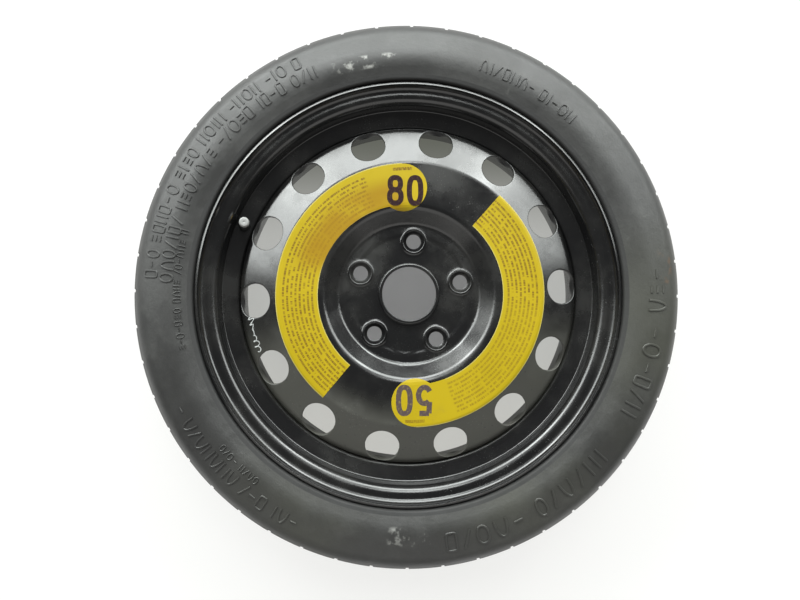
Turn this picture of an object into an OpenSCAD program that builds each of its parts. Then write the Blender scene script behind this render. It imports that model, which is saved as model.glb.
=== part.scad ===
// Space-saver spare wheel: a narrow temporary tyre on a pressed-steel wheel.
// The wheel lies flat with its outer face up. Z is the axle line and z = 0 is the rim's mid plane.
// The valve, one bolt hole and one vent stand in line on +Y.

/* [Rim] */
// Bead seat diameter at the flange
seat_d = 405.6; // [380:0.2:432]
// Width between the flanges
rim_w = 88.9; // [80:0.1:102]
// Flange height above the bead seat
flange_h = 17.3; // [16:0.1:19]
// Width of the rolled lip, from the flange face to its edge
lip_w = 11.5; // [10.5:0.1:14]
// Depth of the drop well
well_depth = 20.6; // [19:0.1:23]
// Sheet thickness of the rim
rim_t = 2.6; // [2:0.1:3.2]

/* [Disc] */
// Sheet thickness of the disc
disc_t = 4; // [3.2:0.1:4.6]
// Offset of the mounting face from the mid plane
wheel_offset = 25.5; // [22:0.5:29]
// Height of the label ring above the hub pad
face_rise = 15.5; // [12:0.5:18]
// Outer diameter of the hub pad
pad_d = 140; // [137:1:146]
// Diameter at the top of the bowl round the pad
bowl_d = 184; // [180:1:188]
// Diameter of the crease between the label ring and the vent cone
crease_d = 276; // [270:0.4:282]
// Fall of the vent cone
cone_angle = 22.5; // [20:0.5:25]
// Depth of the disc flange inside the well
disc_flange_h = 26; // [22:1:30]
// Number of vents
vent_count = 14; // [8:1:15]
// Vent hole diameter
vent_d = 36.5; // [26:0.5:37]
// Distance of the vent circle from the rim's well
vent_inset = 17.5; // [17:0.5:19]

/* [Hub fit] */
// Centre bore diameter
bore_d = 57.1; // [54:0.1:66.6]
// Height of the collar round the bore above the pad
collar_h = 5; // [3:0.5:8]
// Number of wheel bolts
bolt_count = 5; // [4:1:5]
// Bolt circle diameter
bolt_circle_d = 112; // [108:0.5:114]
// Bolt hole diameter
bolt_hole_d = 15.5; // [14:0.1:16]
// Radius of the ball seat
ball_r = 13; // [12.5:0.5:14]
// Height of the boss round each bolt hole
boss_h = 2.5; // [1.5:0.1:3]
// Rim of the boss outside the ball seat
boss_edge = 1.4; // [0.8:0.1:2]

/* [Tyre] */
// Overall tyre diameter
tyre_d = 581.4; // [572:0.2:596]
// Section width of the tyre
tyre_w = 125; // [120:0.5:134]
// Half width of the tread
tread_half_w = 40; // [36:0.5:43]
// Drop of the tread from crown to edge
tread_drop = 5; // [3:0.5:7]
// Thickness of the tread and belts at the crown
crown_t = 13; // [11:0.5:15]
// Sidewall thickness at the widest place
side_t = 6.5; // [5:0.5:8]
// Depth of the tread grooves
groove_depth = 4.5; // [3:0.5:6]
// Number of shoulder notches on each side
notch_count = 48; // [24:1:60]
// Width of a shoulder notch
notch_w = 3; // [2:0.5:5]
// Depth of a shoulder notch
notch_depth = 1.8; // [1:0.1:3]

/* [Valve] */
// Lean of the valve towards the axle line
valve_lean = 10; // [6:0.5:14]
// Valve hole diameter in the rim
valve_hole_d = 11.5; // [11.3:0.1:11.8]
// Length of the valve outside the rim
valve_l = 31; // [28:0.5:36]
// Thread diameter of the valve mouth
stem_d = 7.7; // [7.6:0.1:8]
// Cap diameter
cap_d = 10.6; // [10:0.1:12]
// Cap height
cap_h = 11; // [9.5:0.5:13]

/* [Labels] */
// Inner diameter of the label band
label_in_d = 190; // [187:1:196]
// Outer diameter of the label band
label_out_d = 278; // [270:1:280]
// Arc from the centre of the round end to the cut end
label_sweep = 137; // [110:1:150]
// Diameter of the round end
label_end_d = 50; // [44:0.5:54]
// Thickness of the label film
label_t = 0.25; // [0.1:0.05:0.4]

/* [Fits] */
// Gap between tyre bead and rim
bead_gap = 0.1; // [0.05:0.05:0.3]
// Gap round bonded and pressed-in valve pieces
press_gap = 0.03; // [0.02:0.01:0.06]
// Radial clearance of the sliding and screwed valve pieces
run_gap = 0.06; // [0.03:0.01:0.09]

/* [Hidden] */
$fn = 96;
arc_step = 14;
eps = 0.01;

// Rim levels and radii on the sheet's middle line
seat_r = seat_d / 2;
half_w = rim_w / 2;
seat_taper = 5;
seat_mid_r = seat_r - rim_t / 2;
flange_mid_z = half_w + rim_t / 2;
lip_mid_r = seat_r + flange_h - rim_t / 2;
lip_z = half_w + lip_w;
lip_bend = 8.3;
heel_in_r = 6.5;
heel_bend = heel_in_r + rim_t / 2;
seat_w = 13.5;
seat_bend = 12;
hump_w = 4;
hump_h = 0.8;
hump_bend = 3;
shoulder_bend = 3.2;
well_mid_r = seat_r - well_depth - rim_t / 2;
well_in_r = well_mid_r - rim_t / 2;
well_bend = 3.6;
seat_end_r = seat_mid_r - seat_w * tan(seat_taper);
shoulder_z = half_w - seat_w - 2 * hump_w;
back_wall_angle = 30;
front_well_z = shoulder_z - (seat_end_r - well_mid_r) * tan(valve_lean);
back_well_z = -shoulder_z + (seat_end_r - well_mid_r) * tan(back_wall_angle);

// Disc levels and radii on the sheet's middle line
pad_z = wheel_offset + disc_t;
pad_mid_z = wheel_offset + disc_t / 2;
face_mid_z = pad_mid_z + face_rise;
face_z = face_mid_z + disc_t / 2;
collar_mid_r = (bore_d + disc_t) / 2;
collar_in_r = 0.3;
collar_bend = disc_t / 2 + collar_in_r;
step_r = 61;
step_w = 3.5;
step_h = 1.2;
step_bend = 3;
pad_bend = 9;
bowl_bend = 12;
crease_bend = 6;
edge_bend = 8;
disc_edge_r = well_in_r - disc_t / 2;
disc_edge_z = face_mid_z - (disc_edge_r - crease_d / 2) * tan(cone_angle);
vent_r = well_in_r - vent_inset;
vent_z = face_mid_z - (vent_r - crease_d / 2) * tan(cone_angle);
weld_count = 8;
weld_arc = 22;
weld_leg = 3.4;
weld_bite = 1.1;

// Ball seat: where the ball meets the hole, and how wide it opens at the boss top
seat_wall = 2.5;
seat_floor_z = wheel_offset + seat_wall;
ball_z = seat_floor_z + sqrt(ball_r * ball_r - bolt_hole_d * bolt_hole_d / 4);
boss_z = pad_z + boss_h;
boss_r = sqrt(ball_r * ball_r - pow(ball_z - boss_z, 2)) + boss_edge;
boss_flare = 3.6;
relief_depth = 1;
relief_flare = 3;

// Tyre levels and radii
tyre_r = tyre_d / 2;
tyre_half_w = tyre_w / 2;
section_h = tyre_r - seat_r;
lip_clearance = 1.8;
lip_out_r = seat_r + flange_h + lip_clearance;
lip_top_rise = 1.5;
lip_top_z = lip_z + lip_top_rise;
lip_top_bend = 3;
belly_r = seat_r + 0.466 * section_h;
side_run = belly_r - lip_out_r;
side_bulge = 1.3;
side_bend = 1.55 * side_run;
tread_edge_r = tyre_r - tread_drop;
tread_edge_bend = 6;
shoulder_r = tread_edge_r - 0.1 * section_h;
shoulder_fall = 15;
shoulder_round = 0.23 * section_h;
bead_seat_r = seat_r + bead_gap;
bead_face_z = half_w - bead_gap;
toe_gap = 1.2;
toe_z = half_w - seat_w + toe_gap;
toe_r = bead_seat_r - (half_w - toe_z) * tan(seat_taper);
toe_bend = 0.8;
heel_round = 7;
liner_toe = [2.5, 2, 2];
liner_heel_z = half_w - 10;
liner_heel_bend = 12;
liner_crown_z = tread_half_w + 1;
liner_crown_bend = 0.25 * section_h;
crown_r = (tread_half_w * tread_half_w + tread_drop * tread_drop) / (2 * tread_drop);
groove_w = 7;
groove_flank = 1.4;
groove_bend = 0.8;
groove_zs = [-0.6, -0.21, 0.21, 0.6] * tread_half_w;
notch_reach = 16;
notch_slope = 38;

// Where each label was stuck: its centre off the axle line, and the direction of its round end
upper_place = [-2.1, -0.1, 26];
lower_place = [0.9, -2.9, 204.5];
label_end_inset = 0.5;
label_lap = 8;
sweep_steps = 4;

// Valve levels along its own line, from the outer face of the well wall
stem_r = stem_d / 2;
stem_foot = -7;
embed_r = 3.2;
barb_r = 4.3;
barb_z = 3;
barb_h = 1.6;
cone_gap = 0.12;
bulb_r = 8;
bulb_foot = -11;
bulb_nose = 1.5;
bulb_nose_bend = 2.2;
bulb_edge_bend = 0.6;
bulb_side_h = 2.5;
well_clearance = 0.8;
valve_wall_r = well_in_r + rim_t + bulb_r + well_clearance;
valve_wall_z = shoulder_z - (seat_end_r - valve_wall_r) * tan(valve_lean) + rim_t / 2 / cos(valve_lean);
collar_r = 6.4;
rubber_top_r = 5.1;
rubber_top = valve_l - 12;
rubber_edge_bend = 0.6;
collar_top = [0.5, 3, 1.5];
taper_top = [1.3, 9, 4];
bore_step = 0.4;
mouth_chamfer = 0.35;
chamber_r = 2.65;
passage_r = 1.95;
chamber_floor = valve_l - 8.3;
core_seat_l = 1.4;

// Valve core
barrel_gap = 0.12;
barrel_top = chamber_floor + 1.3;
barrel_foot = chamber_floor - 7.5;
barrel_floor_t = 0.7;
barrel_waist_r = 1.62;
barrel_rise = 0.4;
seal_fit = 0.02;
seal_foot = 0.15;
plug_top = valve_l - 0.9;
key_w = 2.4;
key_depth = 2.4;
plug_chamfer = 0.4;
pin_r = 0.45;
pin_top = valve_l - 0.15;
pin_head_r = 0.8;
pin_head_h = 0.6;
pin_collar_h = 0.5;
pin_travel = 1.5;
stop_gap = 0.1;
pin_guide = 0.35;
recess_r = pin_head_r + run_gap;
recess_h = pin_travel - (pin_top - pin_head_h - plug_top) + stop_gap;
cup_r = 1.6;
cup_gap = 0.03;
cup_wall = 0.3;
cup_floor_t = 0.4;
cup_floor = barrel_foot - 1.6;
cup_rim = barrel_foot - 0.1;
spring_wire = 0.3;
spring_r = 0.95;
spring_turns = 7;
spring_gap = 0.12;
spring_foot = barrel_foot + barrel_floor_t;
spring_rise = 0.4;
spring_head = barrel_top - pin_travel + spring_rise;
dead_pitch = spring_wire * 1.2;
live_pitch = (spring_head - spring_foot - spring_wire - 2 * dead_pitch) / (spring_turns - 2);
coil_steps = 14;
wire_sides = 6;

// Cap
cap_bore_r = stem_r + run_gap;
cap_seal_t = 0.9;
cap_seal_lift = 0.02;
cap_ceiling = valve_l + cap_seal_t + 2 * cap_seal_lift;
cap_end_t = 1.7;
cap_top = cap_ceiling + cap_end_t;
cap_foot_bend = 0.4;
cap_taper = 0.25;
cap_dome = 1.2;
cap_dome_bend = 1.4;
cap_dimple_bend = 0.2;
cap_dimple_r = 1.6;
cap_dimple_h = 0.7;
cap_flutes = 12;
flute_r = 1;
flute_depth = 0.3;
flute_stop = 2.4;
seal_side_gap = 0.15;
seal_hole_gap = 0.5;

// Vector helpers for profiles, in the plane of radius and height
function flat(c) = [c[0], c[1]];
function unit(v) = v / norm(v);
function left(v) = [-v[1], v[0]];
function swing(v, a) = [v[0] * cos(a) - v[1] * sin(a), v[0] * sin(a) + v[1] * cos(a)];
function turn(a, b) = atan2(a[0] * b[1] - a[1] * b[0], a * b);

// Places and directions round one corner q of the way p, q, s, rounded to a radius
function bend(p, q, s, radius) =
    let (a = unit(q - p),
        angle = turn(a, unit(s - q)),
        side = sign(angle),
        start = q - a * radius * tan(abs(angle) / 2),
        centre = start + left(a) * side * radius,
        n = max(1, ceil(abs(angle) / arc_step)))
    [for (k = [0:n]) let (d = swing(a, angle * k / n)) [centre - left(d) * side * radius, d]];

// An open way through corners [r, z, radius], as places and directions
function course(c) =
    let (last = len(c) - 1)
    concat([[flat(c[0]), unit(flat(c[1]) - flat(c[0]))]],
        [for (i = [1:last - 1]) each bend(flat(c[i - 1]), flat(c[i]), flat(c[i + 1]), c[i][2])],
        [[flat(c[last]), unit(flat(c[last]) - flat(c[last - 1]))]]);

// The outline of a layer that lies from one offset to another beside an open way
function layer(c, low, high) =
    let (s = course(c), last = len(s) - 1)
    concat([for (e = s) e[0] + left(e[1]) * high],
        [for (i = [last:-1:0]) s[i][0] + left(s[i][1]) * low]);

// A closed outline with rounded corners [r, z, radius]; a radius of 0 stays sharp
function rounded(c) =
    let (n = len(c))
    [for (i = [0:n - 1])
        each c[i][2] == 0 ? [flat(c[i])]
            : [for (e = bend(flat(c[(i + n - 1) % n]), flat(c[i]), flat(c[(i + 1) % n]), c[i][2])) e[0]]];

function flipped(c) = [for (e = c) [e[0], -e[1], e[2]]];
function backward(c) = [for (i = [len(c) - 1:-1:0]) c[i]];

module valve_place() {
    rotate([0, 0, 90])
        translate([valve_wall_r, 0, valve_wall_z])
            rotate([0, -valve_lean, 0])
                children();
}

module ring_of(count) {
    for (i = [0:count - 1])
        rotate([0, 0, 90 + i * 360 / count])
            children();
}

module turned(outline) {
    rotate_extrude()
        polygon(outline);
}

// Sheet line of the rim from the outer lip, across the well, to the inner lip
rim_course = [
    [lip_mid_r, lip_z, 0],
    [lip_mid_r, flange_mid_z, lip_bend],
    [seat_mid_r, flange_mid_z, heel_bend],
    [seat_end_r, half_w - seat_w, seat_bend],
    [seat_end_r + hump_h, half_w - seat_w - hump_w, hump_bend],
    [seat_end_r, shoulder_z, shoulder_bend],
    [well_mid_r, front_well_z, well_bend],
    [well_mid_r, back_well_z, well_bend],
    [seat_end_r, -shoulder_z, shoulder_bend],
    [seat_end_r + hump_h, -half_w + seat_w + hump_w, hump_bend],
    [seat_end_r, -half_w + seat_w, seat_bend],
    [seat_mid_r, -flange_mid_z, heel_bend],
    [lip_mid_r, -flange_mid_z, lip_bend],
    [lip_mid_r, -lip_z, 0]];

module rim() {
    color([0.13, 0.13, 0.13])
        difference() {
            turned(layer(rim_course, -rim_t / 2, rim_t / 2));
            valve_place()
                cylinder(d = valve_hole_d, h = 4 * bulb_r, center = true);
        }
}

// Sheet line of the disc from the bore collar to the flange that seats in the well
disc_course = [
    [collar_mid_r, pad_z + collar_h, 0],
    [collar_mid_r, pad_mid_z, collar_bend],
    [step_r, pad_mid_z, step_bend],
    [step_r + step_w, pad_mid_z + step_h, step_bend],
    [pad_d / 2, pad_mid_z + step_h, pad_bend],
    [bowl_d / 2, face_mid_z, bowl_bend],
    [crease_d / 2, face_mid_z, crease_bend],
    [disc_edge_r, disc_edge_z, edge_bend],
    [disc_edge_r, disc_edge_z - disc_flange_h, 0]];

module bolt_boss() {
    translate([bolt_circle_d / 2, 0, pad_z - disc_t / 2])
        cylinder(r1 = boss_r + boss_flare, r2 = boss_r, h = boss_h + disc_t / 2);
}

module bolt_cut() {
    translate([bolt_circle_d / 2, 0, 0]) {
        cylinder(d = bolt_hole_d, h = boss_z + eps);
        translate([0, 0, ball_z])
            sphere(r = ball_r);
        translate([0, 0, wheel_offset - eps])
            cylinder(r1 = bolt_hole_d / 2 + relief_flare, r2 = bolt_hole_d / 2, h = relief_depth + eps);
    }
}

module vent_cut() {
    translate([vent_r, 0, vent_z])
        rotate([0, cone_angle, 0])
            cylinder(d = vent_d, h = 6 * disc_t, center = true);
}

module weld() {
    foot_z = disc_edge_z - disc_flange_h;
    rotate([0, 0, 180 / weld_count - weld_arc / 2])
        rotate_extrude(angle = weld_arc)
            polygon([[well_in_r, foot_z + weld_bite], [well_in_r, foot_z - weld_leg],
                [well_in_r - weld_leg, foot_z], [well_in_r - weld_leg, foot_z + weld_bite]]);
}

module wheel_disc() {
    color([0.11, 0.11, 0.12])
        difference() {
            union() {
                turned(layer(disc_course, -disc_t / 2, disc_t / 2));
                ring_of(bolt_count)
                    bolt_boss();
                ring_of(weld_count)
                    weld();
            }
            ring_of(bolt_count)
                bolt_cut();
            ring_of(vent_count)
                vent_cut();
        }
}

// Outline of one label seen from the front: a band with one round end and one cut end
module label_outline() {
    end_r = label_out_d / 2 - label_end_d / 2 - label_end_inset;
    far = label_out_d;
    union() {
        intersection() {
            difference() {
                circle(d = label_out_d);
                circle(d = label_in_d);
            }
            polygon([[0, 0], for (k = [0:sweep_steps])
                far * [cos(k * label_sweep / sweep_steps), sin(k * label_sweep / sweep_steps)]]);
        }
        translate([end_r, 0])
            circle(d = label_end_d);
    }
}

// Film that follows the front of the disc under one label's outline, stuck at a place [x, y, angle]
module label_film(place) {
    color([0.88, 0.76, 0.05])
        intersection() {
            turned(layer(label_course, disc_t / 2, disc_t / 2 + label_t));
            translate([0, 0, pad_z])
                linear_extrude(height = 3 * face_rise)
                    translate([place[0], place[1]])
                        rotate([0, 0, place[2]])
                            label_outline();
        }
}

// The stretch of the disc's sheet line that the labels cover
label_course = [
    [pad_d / 2, pad_mid_z + step_h, 0],
    [bowl_d / 2, face_mid_z, bowl_bend],
    [crease_d / 2, face_mid_z, crease_bend],
    [crease_d / 2 + label_lap, face_mid_z - label_lap * tan(cone_angle), 0]];

module label_upper() {
    label_film(upper_place);
}

module label_lower() {
    label_film(lower_place);
}

// Half of the tyre's section: outside from bead toe to tread edge, inside from bead toe to crown
tyre_outside = [
    [toe_r, toe_z, toe_bend],
    [bead_seat_r, bead_face_z, heel_round],
    [lip_out_r, bead_face_z, lip_bend + rim_t / 2 + lip_clearance],
    [lip_out_r, lip_top_z, lip_top_bend],
    [belly_r, tyre_half_w + side_bulge, side_bend],
    [shoulder_r, tread_half_w + shoulder_fall, shoulder_round],
    [tread_edge_r, tread_half_w, tread_edge_bend]];
tyre_inside = [
    [toe_r + liner_toe[0], toe_z - liner_toe[1], liner_toe[2]],
    [bead_seat_r + flange_h, liner_heel_z, liner_heel_bend],
    [belly_r, tyre_half_w - side_t, side_run],
    [tread_edge_r - crown_t, liner_crown_z, liner_crown_bend]];

// Crown of the tread, an arc through its middle and both edges
function crown(z) = tyre_r - crown_r + sqrt(crown_r * crown_r - z * z);

// One tread groove with sloped flanks
function groove(z) = [
    [crown(z + groove_w / 2), z + groove_w / 2, 0],
    [crown(z) - groove_depth, z + groove_w / 2 - groove_flank, groove_bend],
    [crown(z) - groove_depth, z - groove_w / 2 + groove_flank, groove_bend],
    [crown(z - groove_w / 2), z - groove_w / 2, 0]];

module tyre_profile() {
    tread = [for (i = [len(groove_zs) - 1:-1:0]) each groove(groove_zs[i])];
    polygon(rounded(concat(tyre_outside, tread, backward(flipped(tyre_outside)),
        flipped(tyre_inside), backward(tyre_inside))));
}

module notch(side) {
    // a slot across the shoulder, its floor parallel to the slope between tread edge and sidewall
    translate([tread_edge_r, 0, side * tread_half_w])
        rotate([0, side * notch_slope, 0])
            translate([-notch_depth, -notch_w / 2, -notch_reach / 2])
                cube([3 * notch_depth, notch_w, notch_reach]);
}

module tyre() {
    color([0.33, 0.33, 0.31])
        difference() {
            rotate_extrude()
                tyre_profile();
            ring_of(notch_count)
                notch(1);
            rotate([0, 0, 180 / notch_count])
                ring_of(notch_count)
                    notch(-1);
        }
}

// Rubber of the snap-in valve: a bulb inside the rim, a neck in the hole and a taper outside
module valve_body() {
    neck_r = valve_hole_d / 2 - press_gap;
    bulb_z = -rim_t - cone_gap;
    sleeve_r = embed_r + press_gap;
    color([0.1, 0.1, 0.1])
        valve_place()
            turned(rounded([
                [passage_r + bore_step, bulb_foot, bulb_edge_bend],
                [bulb_r - bulb_nose, bulb_foot, bulb_nose_bend],
                [bulb_r, bulb_z - bulb_side_h, bulb_nose],
                [bulb_r, bulb_z, bulb_edge_bend],
                [neck_r, bulb_z, 0],
                [neck_r, cone_gap, 0],
                [collar_r, cone_gap, bulb_edge_bend],
                [collar_r - collar_top[0], collar_top[1], collar_top[2]],
                [collar_r - taper_top[0], taper_top[1], taper_top[2]],
                [rubber_top_r, rubber_top, rubber_edge_bend],
                [sleeve_r, rubber_top, 0],
                [sleeve_r, barb_z + barb_h + press_gap, 0],
                [barb_r + press_gap, barb_z + barb_h + press_gap, 0],
                [sleeve_r, barb_z - press_gap, 0],
                [sleeve_r, stem_foot - press_gap, 0],
                [passage_r + bore_step, stem_foot - press_gap, 0]]));
}

// Brass stem: bonded foot with a barb, screwed mouth outside, stepped bore for the core
module valve_stem() {
    color([0.72, 0.6, 0.34])
        valve_place()
            turned([
                [passage_r, stem_foot],
                [embed_r, stem_foot],
                [embed_r, barb_z],
                [barb_r, barb_z + barb_h],
                [embed_r, barb_z + barb_h],
                [embed_r, rubber_top + stem_r - embed_r],
                [stem_r, rubber_top + 2 * (stem_r - embed_r)],
                [stem_r, valve_l - mouth_chamfer],
                [stem_r - mouth_chamfer, valve_l],
                [chamber_r + mouth_chamfer, valve_l],
                [chamber_r, valve_l - mouth_chamfer],
                [chamber_r, chamber_floor],
                [passage_r, chamber_floor - core_seat_l]]);
}

// Screwed head of the core, with two flats for the key, and a recess that the pin's head sinks into
module core_plug() {
    plug_r = chamber_r - press_gap;
    color([0.78, 0.66, 0.4])
        valve_place()
            difference() {
                turned([
                    [pin_r + run_gap, barrel_top],
                    [plug_r, barrel_top],
                    [plug_r, plug_top - plug_chamfer],
                    [plug_r - plug_chamfer, plug_top],
                    [recess_r, plug_top],
                    [recess_r, plug_top - recess_h],
                    [pin_r + run_gap, plug_top - recess_h]]);
                for (side = [-1, 1])
                    translate([side * (plug_r + key_w / 2) - plug_r, -plug_r, plug_top - key_depth])
                        cube([2 * plug_r, 2 * plug_r, key_depth + eps]);
            }
}

// Barrel of the core: a thin tube that holds the spring and ends in the valve seat
module core_barrel() {
    outer_r = passage_r - barrel_gap;
    shoulder_out_r = chamber_r - 2 * barrel_gap;
    waist_z = chamber_floor - core_seat_l;
    color([0.8, 0.7, 0.42])
        valve_place()
            turned([
                [pin_r + pin_guide, barrel_foot],
                [outer_r, barrel_foot],
                [outer_r, waist_z],
                [barrel_waist_r, waist_z + seal_foot],
                [barrel_waist_r, chamber_floor],
                [shoulder_out_r, chamber_floor + barrel_rise],
                [shoulder_out_r, barrel_top],
                [spring_r + spring_wire / 2 + spring_gap, barrel_top],
                [spring_r + spring_wire / 2 + spring_gap, barrel_foot + barrel_floor_t],
                [pin_r + pin_guide, barrel_foot + barrel_floor_t]]);
}

// Sealing ring on the barrel's waist, squeezed on the cone seat of the stem
module barrel_seal() {
    low = chamber_floor - core_seat_l + seal_foot;
    high = chamber_floor - seal_fit;
    color([0.75, 0.2, 0.15])
        valve_place()
            turned([
                [barrel_waist_r + seal_fit, low],
                [seat_cone_r(low) - seal_fit, low],
                [seat_cone_r(high) - seal_fit, high],
                [barrel_waist_r + seal_fit, high]]);
}

// Radius of the stem's cone seat at a height
function seat_cone_r(z) =
    passage_r + (chamber_r - passage_r) * (z - chamber_floor + core_seat_l) / core_seat_l;

// Pin through the whole core, with a head for the finger or pump and a collar for the spring
module core_pin() {
    color([0.83, 0.74, 0.5])
        valve_place()
            union() {
                translate([0, 0, cup_floor])
                    cylinder(r = pin_r, h = pin_top - cup_floor);
                translate([0, 0, pin_top - pin_head_h])
                    cylinder(r = pin_head_r, h = pin_head_h);
                translate([0, 0, spring_head])
                    cylinder(r = spring_r + spring_wire / 2, h = pin_collar_h);
            }
}

// Height of the spring wire after some turns: a slow first and last turn, even ones between
function coil_z(t) =
    t < 1 ? t * dead_pitch
        : t < spring_turns - 1 ? dead_pitch + (t - 1) * live_pitch
            : dead_pitch + (spring_turns - 2) * live_pitch + (t - spring_turns + 1) * dead_pitch;

// Coil of the return spring between the barrel floor and the pin's collar
module core_spring() {
    rings = spring_turns * coil_steps;
    wire_r = spring_wire / 2;
    points = [for (i = [0:rings], k = [0:wire_sides - 1])
        let (a = 360 * i / coil_steps, b = 360 * k / wire_sides, r = spring_r + wire_r * cos(b))
        [r * cos(a), r * sin(a), spring_foot + wire_r + coil_z(i / coil_steps) + wire_r * sin(b)]];
    sides = [for (i = [0:rings - 1], k = [0:wire_sides - 1])
        let (n = (k + 1) % wire_sides, low = i * wire_sides, high = low + wire_sides)
        [low + k, low + n, high + n, high + k]];
    color([0.7, 0.7, 0.72])
        valve_place()
            polyhedron(points, concat(sides,
                [[for (k = [wire_sides - 1:-1:0]) k]],
                [[for (k = [0:wire_sides - 1]) rings * wire_sides + k]]));
}

// Cup crimped on the foot of the pin
module core_cup() {
    color([0.8, 0.7, 0.42])
        valve_place()
            turned([
                [pin_r, cup_floor],
                [cup_r, cup_floor],
                [cup_r, cup_rim],
                [cup_r - cup_wall, cup_rim],
                [cup_r - cup_wall, cup_floor + cup_floor_t],
                [pin_r, cup_floor + cup_floor_t]]);
}

// Rubber washer in the cup that closes the barrel's foot
module cup_seal() {
    color([0.12, 0.12, 0.12])
        valve_place()
            turned([
                [pin_r + seal_fit, cup_floor + cup_floor_t + seal_fit],
                [cup_r - cup_wall - seal_fit, cup_floor + cup_floor_t + seal_fit],
                [cup_r - cup_wall - seal_fit, barrel_foot - cup_gap],
                [pin_r + seal_fit, barrel_foot - cup_gap]]);
}

// Screw cap with grip flutes and a small dimple in its domed end
module valve_cap() {
    color([0.72, 0.73, 0.73])
        valve_place()
            difference() {
                turned(rounded([
                    [cap_bore_r, cap_top - cap_h, 0],
                    [cap_d / 2, cap_top - cap_h, cap_foot_bend],
                    [cap_d / 2 - cap_taper, cap_top - cap_dome, 0],
                    [cap_d / 2 - cap_dome, cap_top, cap_dome_bend],
                    [cap_dimple_r, cap_top, cap_dimple_bend],
                    [0, cap_top - cap_dimple_h, 0],
                    [0, cap_ceiling, 0],
                    [cap_bore_r, cap_ceiling, 0]]));
                for (k = [0:cap_flutes - 1])
                    rotate([0, 0, k * 360 / cap_flutes])
                        translate([cap_d / 2 + flute_r - flute_depth, 0, cap_top - cap_h - eps])
                            cylinder(r = flute_r, h = cap_h - flute_stop, $fn = 24);
            }
}

// Soft ring under the cap's end that seals on the stem's mouth
module cap_seal() {
    color([0.25, 0.25, 0.27])
        valve_place()
            translate([0, 0, valve_l + cap_seal_lift])
                difference() {
                    cylinder(r = cap_bore_r - seal_side_gap, h = cap_seal_t);
                    translate([0, 0, -eps])
                        cylinder(r = pin_head_r + seal_hole_gap, h = cap_seal_t + 2 * eps);
                }
}

tyre();
rim();
wheel_disc();
label_upper();
label_lower();
valve_body();
valve_stem();
core_plug();
core_barrel();
barrel_seal();
core_pin();
core_spring();
core_cup();
cup_seal();
valve_cap();
cap_seal();
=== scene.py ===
"""Dresses a packed space-saver spare wheel: rubber, pressed steel, labels, valve and a plain studio."""

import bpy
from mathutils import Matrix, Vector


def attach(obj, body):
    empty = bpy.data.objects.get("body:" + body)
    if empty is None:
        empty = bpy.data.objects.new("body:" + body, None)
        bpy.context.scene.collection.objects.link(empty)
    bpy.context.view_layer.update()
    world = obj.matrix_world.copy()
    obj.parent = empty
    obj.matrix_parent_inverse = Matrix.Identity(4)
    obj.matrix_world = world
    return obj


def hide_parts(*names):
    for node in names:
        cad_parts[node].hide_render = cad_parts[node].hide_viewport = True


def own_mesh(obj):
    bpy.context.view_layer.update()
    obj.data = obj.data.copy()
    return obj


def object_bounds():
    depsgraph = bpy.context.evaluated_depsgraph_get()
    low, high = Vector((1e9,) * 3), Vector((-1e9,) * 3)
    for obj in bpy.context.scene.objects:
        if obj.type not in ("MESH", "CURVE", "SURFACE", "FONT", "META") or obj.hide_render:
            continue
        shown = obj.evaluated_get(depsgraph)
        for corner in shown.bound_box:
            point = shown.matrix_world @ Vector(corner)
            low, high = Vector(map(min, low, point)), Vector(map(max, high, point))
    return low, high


bl_info = {
    "name": "Spare wheel dressing",
    "version": (1, 0),
    "blender": (4, 5, 0),
    "location": "3D View > Sidebar > Spare wheel",
    "description": "Builds the visible surfaces and finishes of a space-saver spare wheel",
    "category": "Object",
}

import math
from types import SimpleNamespace

import bmesh
import bpy
import numpy as np
from mathutils import Matrix

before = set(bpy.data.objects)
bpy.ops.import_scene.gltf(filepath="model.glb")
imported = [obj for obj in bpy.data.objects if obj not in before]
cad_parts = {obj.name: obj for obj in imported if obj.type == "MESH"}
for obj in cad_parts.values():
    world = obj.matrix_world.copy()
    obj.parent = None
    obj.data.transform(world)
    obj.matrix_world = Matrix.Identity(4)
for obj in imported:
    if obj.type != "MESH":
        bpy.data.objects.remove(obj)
CAD_BOX = [list(corner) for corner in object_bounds()]

MM = 0.001

# The photograph's frame, the direction of its upper edge round the wheel's axis, and the turn from
# the photograph's axes to the wheel's
PHOTO_WIDTH = 800
PHOTO_HEIGHT = 600
PHOTO_UP = math.radians(23)
PHOTO_TURN = PHOTO_UP - math.radians(90)
SENSOR = 36

# Where the valve, the first vent and the first bolt hole lie round the wheel's axis
START = math.pi / 2


# Sizes and colours that a user would change


class WheelSizes(bpy.types.PropertyGroup):
    """Driving sizes of the pressed steel wheel."""

    seat_diameter: bpy.props.FloatProperty(
        name="Bead seat diameter", description="Where the tyre sits on the rim",
        default=405.6 * MM, unit="LENGTH")
    rim_width: bpy.props.FloatProperty(
        name="Rim width", description="Between the two flanges", default=88.9 * MM, unit="LENGTH")
    rim_sheet: bpy.props.FloatProperty(
        name="Rim sheet", description="Thickness of the rim's steel", default=2.6 * MM, unit="LENGTH")
    disc_sheet: bpy.props.FloatProperty(
        name="Disc sheet", description="Thickness of the disc's steel", default=4 * MM, unit="LENGTH")
    vent_diameter: bpy.props.FloatProperty(
        name="Vent diameter", description="Round holes in the disc's cone", default=36.5 * MM, unit="LENGTH")
    vents: bpy.props.IntProperty(name="Vents", description="Number of round vents", default=14)
    bolt_circle: bpy.props.FloatProperty(
        name="Bolt circle", description="Diameter through the bolt holes", default=112 * MM, unit="LENGTH")
    bolts: bpy.props.IntProperty(name="Bolt holes", description="Number of bolt holes", default=5)
    paint: bpy.props.FloatVectorProperty(
        name="Paint", description="Colour of the wheel's paint", subtype="COLOR",
        default=(0.006, 0.006, 0.0063))


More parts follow.
